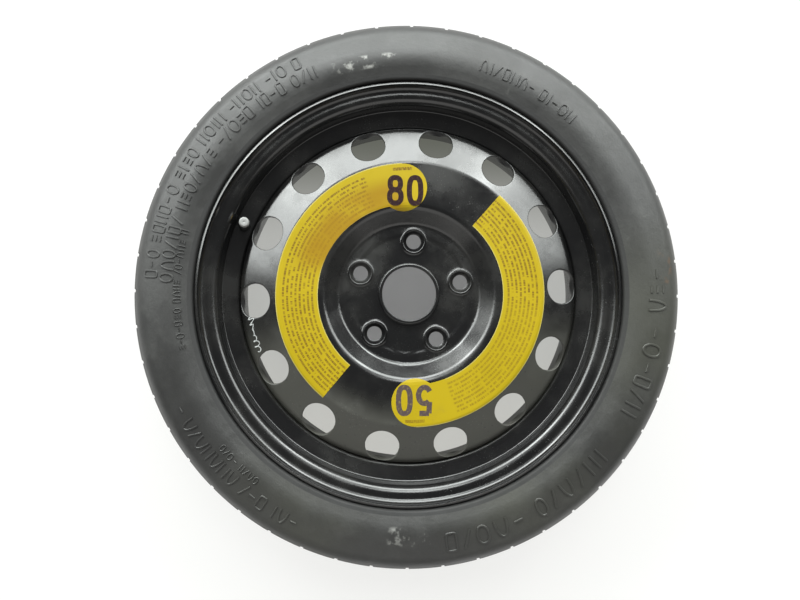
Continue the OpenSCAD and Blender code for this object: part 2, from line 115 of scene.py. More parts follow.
class TyreSizes(bpy.types.PropertyGroup):
    """Driving sizes of the tyre."""

    diameter: bpy.props.FloatProperty(
        name="Tyre diameter", description="Over the tread", default=581.4 * MM, unit="LENGTH")
    width: bpy.props.FloatProperty(
        name="Tyre width", description="Over the sidewalls", default=125 * MM, unit="LENGTH")
    tread_width: bpy.props.FloatProperty(
        name="Tread width", description="Between the tread's edges", default=80 * MM, unit="LENGTH")
    notches: bpy.props.IntProperty(name="Notches", description="Slots round each shoulder", default=48)
    mark_height: bpy.props.FloatProperty(
        name="Mark height", description="How far the moulded marks stand up", default=0.9 * MM, unit="LENGTH")
    rubber: bpy.props.FloatVectorProperty(
        name="Rubber", description="Colour of the dusty rubber", subtype="COLOR",
        default=(0.033, 0.033, 0.0315))


class LabelSizes(bpy.types.PropertyGroup):
    """Colours and numeral sizes of the two speed labels."""

    numeral_height: bpy.props.FloatProperty(
        name="Numeral height", description="Height of the large numerals", default=32.4 * MM, unit="LENGTH")
    stroke: bpy.props.FloatProperty(
        name="Stroke", description="Width of a numeral's stroke", default=5.5 * MM, unit="LENGTH")
    yellow: bpy.props.FloatVectorProperty(
        name="Film", description="Colour of the label's film", subtype="COLOR", default=(0.4, 0.295, 0.004))
    ink: bpy.props.FloatVectorProperty(
        name="Ink", description="Colour of the print", subtype="COLOR", default=(0.02, 0.006, 0.009))
    faded_ink: bpy.props.FloatVectorProperty(
        name="Faded ink", description="Colour of worn print", subtype="COLOR", default=(0.075, 0.055, 0.055))


class StudioSizes(bpy.types.PropertyGroup):
    """Camera and light of the studio."""

    lens: bpy.props.FloatProperty(name="Lens", description="Focal length in millimetres", default=31.98)
    eye: bpy.props.FloatVectorProperty(
        name="Eye", description="Camera place in the photograph's axes: right, up, towards the camera",
        subtype="XYZ", unit="LENGTH", default=(-33.64 * MM, -35.31 * MM, 785.4 * MM))
    pitch: bpy.props.FloatProperty(
        name="Pitch", description="Tilt about the image's width", default=-0.038, unit="ROTATION")
    yaw: bpy.props.FloatProperty(
        name="Yaw", description="Turn about the image's height", default=0.0318, unit="ROTATION")
    floor: bpy.props.FloatVectorProperty(
        name="Floor", description="Colour of the floor", subtype="COLOR", default=(0.2, 0.2, 0.2))


# Lines in the plane of radius and height


def unit(vector):
    return vector / np.linalg.norm(vector)


def left(vector):
    """The vector turned a quarter to its left."""
    return np.array([-vector[1], vector[0]])


def swung(vector, angle):
    """The vector turned to its left by an angle."""
    cosine, sine = math.cos(angle), math.sin(angle)
    return np.array([vector[0] * cosine - vector[1] * sine, vector[0] * sine + vector[1] * cosine])


def walk(corners, arc_step, run_step):
    """Places, left-hand normals and way lengths along a line through corners [r, z, radius].

    Each corner is turned on an arc that touches both of its straight runs. An arc is cut into steps of
    arc_step, a run into steps of run_step with one place close to each of its ends, so that shading
    stays flat up to the bend."""
    corners = np.asarray(corners, float)
    guard = 0.4 * MM
    places, normals, ways = [], [], []
    here, way = corners[0, :2], 0.0
    last = len(corners) - 1
    for i in range(1, last + 1):
        corner = corners[i, :2]
        ahead = unit(corner - here)
        turn, reach = 0.0, 0.0
        if i < last:
            onward = unit(corners[i + 1, :2] - corner)
            turn = math.atan2(ahead[0] * onward[1] - ahead[1] * onward[0], ahead @ onward)
            reach = corners[i, 2] * math.tan(abs(turn) / 2)
        length = np.linalg.norm(corner - here) - reach
        steps = max(1, math.ceil(length / run_step))
        inner = np.linspace(0, 1, steps + 1) * length
        edge = min(guard, length / 4)
        stations = np.unique(np.concatenate([inner, [edge, length - edge]]))
        if i > 1:
            stations = stations[1:]
        places.append(here + stations[:, None] * ahead)
        normals.append(np.repeat(left(ahead)[None], len(stations), axis=0))
        ways.append(way + stations)
        here = here + ahead * length
        way += length
        if reach:
            radius = corners[i, 2]
            side = math.copysign(1, turn)
            middle = here + side * radius * left(ahead)
            count = max(2, math.ceil(abs(turn) / arc_step))
            turns = np.linspace(0, turn, count + 1)[1:]
            arms = np.array([left(swung(ahead, t)) for t in turns])
            places.append(middle - side * radius * arms)
            normals.append(arms)
            ways.append(way + radius * np.abs(turns))
            here = places[-1][-1]
            way += radius * abs(turn)
    return np.concatenate(places), np.concatenate(normals), np.concatenate(ways)


class Line:
    """A rounded line: at(way, offset) gives radius and height at a way along it, offset to its left."""

    def __init__(self, corners, arc_step=7.0, run_step=14 * MM):
        fine_arc, fine_run = math.radians(1), 0.5 * MM
        self.places, self.normals, self.ways = walk(corners, fine_arc, fine_run)
        self.keys = walk(corners, math.radians(arc_step), run_step)[2]
        self.length = self.ways[-1]

    def at(self, way, offset=0.0):
        """Radius and height: those of the line, and its left normal times the offset added."""
        return tuple(np.interp(way, self.ways, place) + offset * np.interp(way, self.ways, normal)
                     for place, normal in zip(self.places.T, self.normals.T))

    def way_at_radius(self, radius, low, high):
        """The way between low and high at which the line has a radius; radius grows along that stretch."""
        ways = np.linspace(low, high, 4000)
        return np.interp(radius, self.at(ways)[0], ways)

    def between(self, low, high):
        """The line's key places from low to high, both ends among them."""
        gap = 0.3 * MM
        inner = self.keys[(self.keys > low + gap) & (self.keys < high - gap)]
        return np.concatenate([[low], inner, [high]])


def turned(radius, height, angle):
    """Points on circles round the wheel's axis: x = r cos a, y = r sin a, z = h."""
    radius, height, angle = np.broadcast_arrays(radius, height, angle)
    return np.stack([radius * np.cos(angle), radius * np.sin(angle), height], axis=-1)


def rotated(points, angle):
    """Points turned round the wheel's axis by an angle."""
    cosine, sine = math.cos(angle), math.sin(angle)
    x, y, z = np.moveaxis(points, -1, 0)
    return np.stack([x * cosine - y * sine, x * sine + y * cosine, z], axis=-1)


# Skins: grids of points put together into closed meshes

# The angle in degrees past which an edge stays crisp, and the distance within which points are merged
STEEL_EDGES = (50, 4e-6)
TYRE_EDGES = (32, 2e-6)
MARK_EDGES = (40, 1e-7)
WIRE_EDGES = (50, 1e-8)


def linked(name, data):
    """A new object of some data, put into the scene."""
    thing = bpy.data.objects.new(name, data)
    bpy.context.scene.collection.objects.link(thing)
    return thing


class Skin:
    """Collects grids of points and their faces, then makes one mesh object of them."""

    def __init__(self):
        self.points = []
        self.faces = []
        self.caps = []
        self.count = 0

    def grid(self, points, wrap_rows=False, wrap_columns=False):
        """Adds a grid (rows, columns, 3) as four-sided faces, its ends joined where wrap says so."""
        rows, columns = points.shape[:2]
        index = self.count + np.arange(rows * columns).reshape(rows, columns)
        if wrap_rows:
            index = np.concatenate([index, index[:1]], axis=0)
        if wrap_columns:
            index = np.concatenate([index, index[:, :1]], axis=1)
        faces = np.stack([index[:-1, :-1], index[1:, :-1], index[1:, 1:], index[:-1, 1:]], axis=-1)
        self.faces.append(faces.reshape(-1, 4))
        self.points.append(points.reshape(-1, 3))
        first = self.count
        self.count += rows * columns
        return first

    def cap(self, first, count):
        """Closes a row of points, from first on, with one face."""
        self.caps.append(list(range(first, first + count)))

    def piece(self, name, slot, body, sharp, weld):
        """Makes the object: doubles merged, faces turned outwards, edges past sharp degrees kept crisp."""
        mesh = bpy.data.meshes.new(name)
        faces = np.concatenate(self.faces).tolist() + self.caps
        mesh.from_pydata(np.concatenate(self.points).tolist(), [], faces)
        work = bmesh.new()
        work.from_mesh(mesh)
        bmesh.ops.remove_doubles(work, verts=work.verts, dist=weld)
        bmesh.ops.recalc_face_normals(work, faces=work.faces)
        work.to_mesh(mesh)
        work.free()
        mesh.polygons.foreach_set("use_smooth", np.ones(len(mesh.polygons), bool))
        mesh.set_sharp_from_angle(angle=math.radians(sharp))
        thing = linked(name, mesh)
        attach(thing, body)
        return thing


def sheet_end(way, half, left_edge, right_edge, inward):
    """Ways and offsets round a sheet's cut end at a way: left face to right face over a small arc at each.

    inward is 1 where the sheet lies at larger ways, -1 where it lies at smaller ones."""
    arc = np.linspace(0, math.pi / 2, 6)
    faces = []
    for edge, side, turn in ((left_edge, 1, arc), (right_edge, -1, arc[::-1])):
        ways = way + inward * edge * (1 - np.sin(turn))
        faces.append(np.stack([ways, side * (half - edge * (1 - np.cos(turn)))], axis=1))
    return np.concatenate(faces)


def spin(skin, line, ways, offsets, angles, wrap=True):
    """Turns a line's places round the axis: one circle, or part of one, for each way and offset."""
    radius, height = line.at(ways, offsets)
    skin.grid(turned(radius[:, None], height[:, None], angles[None]), wrap_columns=wrap)


def spin_end(skin, line, first, end, second, offset, angles):
    """Turns both faces of a sheet and the end that joins them, as one band.

    The ways of first lie at the offset and those of second opposite it; end holds ways and offsets."""
    ways = np.concatenate([first, end[1:-1, 0], second])
    offsets = [np.full(len(first), offset), end[1:-1, 1], np.full(len(second), -offset)]
    spin(skin, line, ways, np.concatenate(offsets), angles)


def hole_edge(line, centre_way, radius, bearing, offset, reach):
    """Ways and angles where a round hole of a radius, bored square to the sheet, meets the sheet.

    bearing runs round the hole: sin along the line, cos round the axis. A place on the sheet belongs to
    the hole where its distance along the sheet's slope from the hole's axis equals radius * sin(bearing)
    and its sideways distance equals radius * cos(bearing)."""
    ways = np.linspace(centre_way - reach, centre_way + reach, 1600)
    ways = ways[(ways >= 0) & (ways <= line.length)]
    radii, heights = line.at(ways, offset)
    centre = np.array(line.at(centre_way))
    nudge = 0.2 * MM
    slope = unit(np.array(line.at(centre_way + nudge)) - np.array(line.at(centre_way - nudge)))
    aside = radius * np.cos(bearing)
    along = radius * np.sin(bearing)
    swing = np.arcsin(np.clip(aside[:, None] / radii[None], -1, 1))
    level = (radii * np.cos(swing) - centre[0]) * slope[0] + (heights - centre[1]) * slope[1]
    after = np.clip((level < along[:, None]).sum(axis=1), 1, len(ways) - 1)
    row = np.arange(len(bearing))
    before = level[row, after - 1]
    share = (along - before) / (level[row, after] - before)
    way = ways[after - 1] + share * (ways[after] - ways[after - 1])
    radius_here = line.at(way, offset)[0]
    return way, np.arcsin(np.clip(aside / radius_here, -1, 1))


def frame_round(ways, angles):
    """The border of a patch in way and angle, walked once round: up the ways, along the angles and back."""
    low, high = np.full(len(angles), ways[0]), np.full(len(angles), ways[-1])
    start, stop = np.full(len(ways), angles[0]), np.full(len(ways), angles[-1])
    way = np.concatenate([low[:-1], ways[:-1], high[:0:-1], ways[:0:-1]])
    angle = np.concatenate([angles[:-1], stop[:-1], angles[:0:-1], start[:0:-1]])
    return way, angle


def holed_sheet(skin, line, ways, angles, centre_way, radius, half, edge, rings, turns):
    """A patch of sheet with one round hole, repeated at each of turns.

    Rows of points run from the hole's rounded edge to the patch's border, a straight blend of way and
    angle between the two, on both faces; the hole's wall joins them."""
    way_border, angle_border = frame_round(ways, angles)
    radius_here = line.at(centre_way)[0]
    bearing = np.arctan2(way_border - centre_way, angle_border * radius_here)
    arc = np.linspace(0, math.pi / 2, 4)
    outward = edge * (1 - np.cos(arc))
    sunk = edge * (1 - np.sin(arc))
    margin, spacing = 12 * MM, 1.25
    reach = (ways[-1] - ways[0]) / 2 + margin
    shares = np.linspace(0, 1, rings + 1)[1:, None] ** spacing
    sides = []
    for sign in (1, -1):
        rows = []
        for distance, drop in zip(outward, sunk):
            offset = sign * (half - drop)
            way, angle = hole_edge(line, centre_way, radius + distance, bearing, offset, reach)
            rows.append(turned(*line.at(way, offset), angle))
        way_blend = way + (way_border - way) * shares
        angle_blend = angle + (angle_border - angle) * shares
        flat = turned(*line.at(way_blend, sign * half), angle_blend)
        sides.append(np.concatenate([np.stack(rows), flat]))
    patch = np.concatenate([sides[1][::-1], sides[0]])
    for turn in turns:
        skin.grid(rotated(patch, turn), wrap_columns=True)


# Strokes: a ridge with soft shoulders carried along a path


def straight(*corners):
    """A path through corners, cut into short steps."""
    corners = np.asarray(corners, float)
    step = 2.5 * MM
    runs = []
    for a, b in zip(corners[:-1], corners[1:]):
        count = max(1, int(np.ceil(np.linalg.norm(b - a) / step)))
        runs.append(a + np.linspace(0, 1, count, endpoint=False)[:, None] * (b - a))
    return np.concatenate(runs + [corners[-1:]])


def oval(width, height, power, count=48, centre=(0, 0)):
    """A closed path |x / a|^n + |y / b|^n = 1, with a and b half the width and height and n the power."""
    t = np.linspace(0, 2 * math.pi, count, endpoint=False)
    x = np.sign(np.cos(t)) * np.abs(np.cos(t)) ** (2 / power) * width / 2
    y = np.sign(np.sin(t)) * np.abs(np.sin(t)) ** (2 / power) * height / 2
    return np.stack([x + centre[0], y + centre[1]], axis=1)


def stroke(path, width, height, sunk, closed=False, taper=0.25):
    """Points (path, section, 3) of a stroke: x and y in its own plane, z its height above the surface.

    At each place of the path the section stands square to the path: down at both sides, soft at both
    shoulders, flat on top."""
    if closed:
        ahead = np.roll(path, -1, axis=0) - np.roll(path, 1, axis=0)
    else:
        ahead = np.gradient(path, axis=0)
    ahead = ahead / np.linalg.norm(ahead, axis=1, keepdims=True)
    across = np.stack([-ahead[:, 1], ahead[:, 0]], axis=1)
    half, slope, shoulder = width / 2, taper * height, 0.45 * height
    side = np.array([-half, -half, -half + slope, half - slope, half, half])
    lift = np.array([-sunk, shoulder, height, height, shoulder, -sunk])
    flat = path[:, None] + side[None, :, None] * across[:, None]
    return np.concatenate([flat, np.broadcast_to(lift[None, :, None], flat.shape[:2] + (1,))], axis=2)


def add_stroke(skin, points, closed=False):
    """Adds a stroke's points, already laid on their surface, as a closed bar or ring."""
    first = skin.grid(points, wrap_rows=closed, wrap_columns=True)
    if not closed:
        rows, section = points.shape[:2]
        skin.cap(first, section)
        skin.cap(first + (rows - 1) * section, section)


# Shader maths


def paired(operation):
    """An operator's plain and reflected methods, each of which adds a Math node."""

    def plain(self, other):
        return self.finish.math(operation, self, other)

    def reflected(self, other):
        return self.finish.math(operation, other, self)

    return plain, reflected


class Field:
    """One value in a finish. Arithmetic on it adds Math nodes."""

    def __init__(self, finish, socket):
        self.finish = finish
        self.socket = socket

    __add__, __radd__ = paired("ADD")
    __sub__, __rsub__ = paired("SUBTRACT")
    __mul__, __rmul__ = paired("MULTIPLY")
    __truediv__, __rtruediv__ = paired("DIVIDE")
    __pow__, __rpow__ = paired("POWER")


class Finish:
    """A material whose nodes are made by calls: node, math, mix, noise and the masks built on them."""

    def __init__(self, name):
        self.material = bpy.data.materials.new(name)
        self.material.use_nodes = True
        self.tree = self.material.node_tree
        self.shader = self.tree.nodes["Principled BSDF"]
        self.place = self.node("ShaderNodeTexCoord", output="Object")

    def node(self, kind, settings=None, inputs=None, output=0):
        """Adds a node: its settings first, then the values or links of its sockets."""
        made = self.tree.nodes.new(kind)
        for key, value in (settings or {}).items():
            setattr(made, key, value)
        for key, value in (inputs or {}).items():
            self.feed(made.inputs[key], value)
        return Field(self, made.outputs[output])

    def feed(self, socket, value):
        """Links a field to a socket, or sets the socket's own number, vector or colour."""
        if isinstance(value, Field):
            self.tree.links.new(value.socket, socket)
        elif socket.type == "RGBA":
            socket.default_value = (*value, 1)
        else:
            socket.default_value = value

    def math(self, operation, *values, clamp=False):
        settings = {"operation": operation, "use_clamp": clamp}
        return self.node("ShaderNodeMath", settings, dict(enumerate(values)))

    def smooth(self, value, low, high):
        """0 below low, 1 above high, and a soft rise between; low above high turns it round."""
        return self.node("ShaderNodeMapRange", {"interpolation_type": "SMOOTHSTEP"},
                         {"Value": value, "From Min": low, "From Max": high})

    def clip(self, value):
        """The value held between 0 and 1."""
        return self.math("ADD", value, 0.0, clamp=True)

    def mix(self, share, first, second):
        """Colour first, turned into second by a share; the numbers are the Mix node's colour sockets."""
        return self.node("ShaderNodeMix", {"data_type": "RGBA"}, {0: share, 6: first, 7: second}, 2)

    def layers(self, colour, *layers):
        """A colour with others laid over it in turn, each a pair of its share and its colour."""
        for share, tint in layers:
            colour = self.mix(share, colour, tint)
        return colour

    def noise(self, scale, detail, roughness, place=None, distortion=0.0):
        return self.node("ShaderNodeTexNoise", None, {
            "Vector": place or self.place, "Scale": scale, "Detail": detail,
            "Roughness": roughness, "Distortion": distortion})

    def clouds(self, low, high, *noise, **settings):
        """Noise, named as for noise(), turned to 0 where it is below low and to 1 where above high."""
        return self.smooth(self.noise(*noise, **settings), low, high)

    def dots(self, scale, low, high):
        """1 within low of the middles of scattered cells, 0 past high, both in shares of a cell."""
        distance = self.node("ShaderNodeTexVoronoi", None, {"Vector": self.place, "Scale": scale})
        return self.smooth(distance, high, low)

    def stretched(self, scale, turn=0.0):
        """Object coordinates turned about the axis and stretched."""
        return self.node("ShaderNodeMapping", None, {
            "Vector": self.place, "Rotation": (0, 0, turn), "Scale": scale})

    def dial(self, centre=(0, 0)):
        """Right, up, radius from a centre, and height, with up towards the photograph's upper edge."""
        moved = self.node("ShaderNodeVectorMath", {"operation": "SUBTRACT"},
                          {0: self.place, 1: (*centre, 0)})
        seen = self.node("ShaderNodeMapping", None, {"Vector": moved, "Rotation": (0, 0, -PHOTO_TURN)})
        parts = self.node("ShaderNodeSeparateXYZ", None, {"Vector": seen}).socket.node.outputs
        right, up, height = (Field(self, part) for part in parts)
        return SimpleNamespace(right=right, up=up, radius=(right * right + up * up) ** 0.5, height=height)

    def towards(self, dial, clock):
        """1 in the direction of a clock angle in degrees from the upper edge, -1 opposite."""
        angle = math.radians(clock)
        return (dial.right * math.sin(angle) + dial.up * math.cos(angle)) / dial.radius

    def sector(self, dial, low, high, soft):
        """1 between two clock angles, fading out over soft degrees."""
        half = (high - low) / 2
        near = math.cos(math.radians(half))
        far = math.cos(math.radians(half + soft))
        return self.smooth(self.towards(dial, (low + high) / 2), far, near)

    def band(self, value, low, high, soft):
        """1 between two values of a field, fading out over soft."""
        return self.smooth(value, low - soft, low) * self.smooth(value, high + soft, high)

    def patch(self, dial, place):
        """1 in one of the places of WEAR, 0 outside it."""
        low, high, soft, inner, outer, edge = WEAR[place]
        return (self.sector(dial, low, high, soft)
                * self.band(dial.radius, inner * MM, outer * MM, edge * MM))

    def bump(self, height, distance, strength, normal=None):
        inputs = {"Height": height, "Distance": distance, "Strength": strength}
        if normal is not None:
            inputs["Normal"] = normal
        return self.node("ShaderNodeBump", None, inputs)

    def wear(self, **sockets):
        """Feeds the shader's sockets, named with _ for a space, and returns the material."""
        for key, value in sockets.items():
            self.feed(self.shader.inputs[key.replace("_", " ")], value)
        return self.material


def give(material, *things):
    """Makes a material the only one of each thing."""
    for thing in things:
        thing.data.materials.clear()
        thing.data.materials.append(material)


def scaled(colour, *factors):
    """A colour times one factor, or times a factor for each of red, green and blue."""
    return tuple(np.multiply(colour, factors).tolist())


# Finishes

# Where wear shows: clock angles from and to with their soft edge in degrees, and radii from and to
# with theirs in millimetres
WEAR = {
    "chalk": (343, 356, 3, 237, 247, 3),
    "rubbed": (177, 184, 2, 240, 254, 4),
    "stain": (82, 87, 3, 262, 272, 4),
    "speckled arc": (15, 50, 12, 96, 145, 5),
    "scraped lip": (60, 175, 15, 196, 222, 3)}

OLIVE_CAST = (0.04, 0.041, 0.027)
RUBBER_SCUFF = (0.11, 0.11, 0.1)
CHALK = (0.33, 0.33, 0.31)
BROWN_STAIN = (0.09, 0.05, 0.024)
# Colour of the painted shade in the crevice between the rim's lip and the tyre
PAINTED_CREVICE_SHADE = (0.006, 0.006, 0.006)
DUST_FILM = (0.06, 0.058, 0.05)
LOWER_CONE_GREY = (0.07, 0.069, 0.055)
DIRT_SPECKLE = (0.2, 0.2, 0.185)
DARK_BLOT = (0.012, 0.012, 0.012)
BARE_SCRAPE = (0.2, 0.2, 0.2)
PRINT_RED = (0.075, 0.012, 0.008)
CUT_EDGE = (0.5, 0.45, 0.16)
FILM_SCRATCH = (0.3, 0.2, 0.012)
FILM_GRIME = (0.25, 0.18, 0.04)
INK_LOSS = (0.5, 0.38, 0.06)


def rubber_finish(rubber):
    """Dusty moulded rubber: fine grain, cloudy dust, an olive cast at the lower right, chalk, stains and
    painted shade in the crevice beside the rim's lip.
    """
    f = Finish("dusty_rubber")
    dial = f.dial()
    dust = f.clouds(0.35, 0.75, 9, 5, 0.6)
    grain = f.noise(420, 3, 0.6)
    streak = f.noise(26, 4, 0.65, f.stretched((1, 1, 3)))
    mottle = f.clouds(0.42, 0.7, 130, 5, 0.7)
    olive = f.sector(dial, 95, 205, 30) * f.clouds(0.3, 0.7, 5, 3, 0.5)
    scuff = f.clouds(0.62, 0.78, 60, 6, 0.7, distortion=0.6) * f.clouds(0.5, 0.66, 7, 2, 0.5)
    front = f.smooth(dial.height, 40 * MM, 50 * MM)
    patchy = f.clouds(0.5, 0.66, 85, 3, 0.6) * front
    chalk = f.clip((f.patch(dial, "chalk") * 0.9 + f.patch(dial, "rubbed") * 0.6) * patchy)
    stain = f.patch(dial, "stain") * patchy
    # Painted shade: a dark band on the rubber beside the rim's lip, where the gap between lip and tyre lies
    # in shadow; the band is also rougher
    crease = f.band(dial.radius, 215 * MM, 226.5 * MM, 1.2 * MM) * front
    colour = f.layers(
        f.mix(dust, scaled(rubber, 0.5), rubber),
        (f.smooth(streak, 0.48, 0.75) * 0.6, scaled(rubber, 1.6)),
        (mottle * 0.4, scaled(rubber, 0.35)),
        (olive * 0.75, OLIVE_CAST),
        (scuff * 0.5, RUBBER_SCUFF),
        (chalk, CHALK),
        (stain * 0.7, BROWN_STAIN),
        (crease * 0.85, PAINTED_CREVICE_SHADE))
    relief = grain * 0.6 + f.noise(900, 2, 0.5) * 0.4
    return f.wear(Base_Color=colour, Roughness=0.46 + dust * 0.16 + scuff * 0.15 + crease * 0.2,
                  Specular_IOR_Level=0.85,
                  Normal=f.bump(relief, 0.25 * MM, 0.6, f.bump(streak, 1.6 * MM, 0.45)))


def paint_finish(name, paint, dust_amount):
    """Gloss black paint on steel: faint orange peel, dust, a greyer lower side of the cone, speckles of dirt
    and rubbed patches.
    """
    f = Finish(name)
    dial = f.dial()
    peel = f.noise(160, 2, 0.5)
    cloud = f.noise(14, 5, 0.65)
    fine = f.noise(700, 3, 0.7)
    film = f.smooth(cloud, 0.4, 0.75) * dust_amount
    # The cone's lower side is made greyer and rougher; dark dots and specks of dirt gather there too
    low = f.sector(dial, 118, 240, 25) * f.smooth(dial.radius, 108 * MM, 146 * MM)
    low = low * f.smooth(dial.radius, 186 * MM, 176 * MM)
    speckle = f.dots(520, 0.08, 0.2) * f.clouds(0.5, 0.62, 40, 3, 0.6)
    scrape = f.clouds(0.63, 0.72, 240, 5, 0.75, distortion=1.2) * f.patch(dial, "scraped lip")
    colour = f.layers(
        paint,
        (film * 0.25, DUST_FILM),
        (low * (0.4 + 0.35 * cloud), LOWER_CONE_GREY),
        (speckle * f.clip(low + f.patch(dial, "speckled arc")) * 0.8, DIRT_SPECKLE),
        (f.dots(150, 0.06, 0.16) * low * 0.8, DARK_BLOT),
        (scrape * 0.5, BARE_SCRAPE))
    rough = 0.16 + film * 0.22 + low * 0.3 + speckle * 0.2 + scrape * 0.3 + fine * 0.05
    return f.wear(Base_Color=colour, Roughness=rough, Specular_IOR_Level=0.9,
                  Normal=f.bump(peel, 0.35 * MM, 0.12, f.bump(fine, 0.05 * MM, 0.2)))


def film_finish(label, name, centre):
    """Yellow label film: pale cut edge, rows of broken print lines, an amber side, scratches and grime.

    The label's own centre lies off the wheel's axis, where it was stuck by hand. A row's words are noise
    along its arc, and each row reads it at a place of its own."""
    f = Finish(name)
    dial = f.dial(centre)
    yellow = tuple(label.yellow)
    cloud = f.noise(18, 3, 0.5)
    first_row, row_pitch, middle_radius = 99 * MM, 4.3 * MM, 119 * MM
    row = (dial.radius - first_row) / row_pitch
    line = f.band(f.math("FRACT", row), 0.25, 0.62, 0.12)
    rows = f.band(dial.radius, first_row + 0.5 * MM, 134 * MM, 0.4 * MM)
    arc = f.math("ARCTAN2", dial.up, dial.right) * middle_radius
    spot = f.node("ShaderNodeCombineXYZ", None, {"X": arc, "Y": f.math("FLOOR", row) * 0.31})
    words = f.clouds(0.4, 0.5, 330, 2, 0.5, spot)
    letters = f.clouds(0.38, 0.56, 1500, 1, 0.5, spot)
    clear = f.clip(f.sector(dial, 340, 372, 1.5) + f.sector(dial, 160, 192, 1.5))
    caption = f.clip(f.sector(dial, 353, 361, 0.6) + f.sector(dial, 175, 183, 0.6))
    caption = caption * f.band(dial.radius, 131.5 * MM, 134.5 * MM, 0.3 * MM)
    print_mask = f.clip(line * rows * words * (1 - clear) + caption) * letters
    inner = f.smooth(dial.radius, 96 * MM, 95.5 * MM) * (1 - clear)
    outer = f.smooth(dial.radius, 138 * MM, 138.4 * MM)
    amber = f.sector(dial, 295, 348, 15) * f.smooth(dial.radius, 131 * MM, 110 * MM)
    scratch = f.clouds(0.68, 0.74, 55, 6, 0.7, f.stretched((1, 9, 1), turn=0.6))
    grime = f.clouds(0.58, 0.8, 30, 5, 0.7) * f.sector(dial, 60, 200, 20)
    colour = f.layers(
        f.mix(f.smooth(cloud, 0.3, 0.7), scaled(yellow, 0.93), yellow),
        (print_mask * 0.85, PRINT_RED),
        (print_mask * f.sector(dial, 100, 176, 10) * 0.45, yellow),
        (f.clip(inner + outer) * 0.6, CUT_EDGE),
        (amber * f.clouds(0.15, 0.5, 24, 3, 0.5) * 0.85, scaled(yellow, 0.68, 0.5, 0.4)),
        (scratch * 0.4, FILM_SCRATCH),
        (grime * 0.35, FILM_GRIME))
    return f.wear(Base_Color=colour, Roughness=0.42 + cloud * 0.15, Specular_IOR_Level=0.28,
                  Normal=f.bump(f.noise(90, 2, 0.5), 0.3 * MM, 0.08))


def ink_finish(name, ink, loss):
    """Printed ink, worn through in specks where loss is above 0."""
    f = Finish(name)
    worn = f.clouds(0.5, 0.75, 420, 4, 0.7)
    colour = f.mix(worn * loss, tuple(ink), INK_LOSS)
    return f.wear(Base_Color=colour, Roughness=0.45 + worn * 0.2, Specular_IOR_Level=0.2)


def plain_finish(name, colour, rough, grain, depth, metal=0.0, vary=0.12):
    """A small part's finish: one colour with slight cloud and grain, as a turned or moulded piece has."""
    f = Finish(name)
    cloud = f.noise(grain, 4, 0.6)
    fine = f.noise(grain * 6, 2, 0.6)
    tinted = f.mix(cloud, scaled(colour, 1 - vary), scaled(colour, 1 + vary))
    return f.wear(Base_Color=tinted, Roughness=rough + cloud * 0.1, Metallic=metal,
                  Normal=f.bump(fine, depth * MM, 0.3))


def scribble_finish():
    """Paint-pen white, thin at the edges of its strokes."""
    f = Finish("paint_pen")
    colour = f.mix(f.clouds(0.35, 0.6, 1100, 3, 0.6), (0.35, 0.36, 0.36), (0.66, 0.68, 0.67))
    return f.wear(Base_Color=colour, Roughness=0.5)


# Sizes that follow from the driving ones


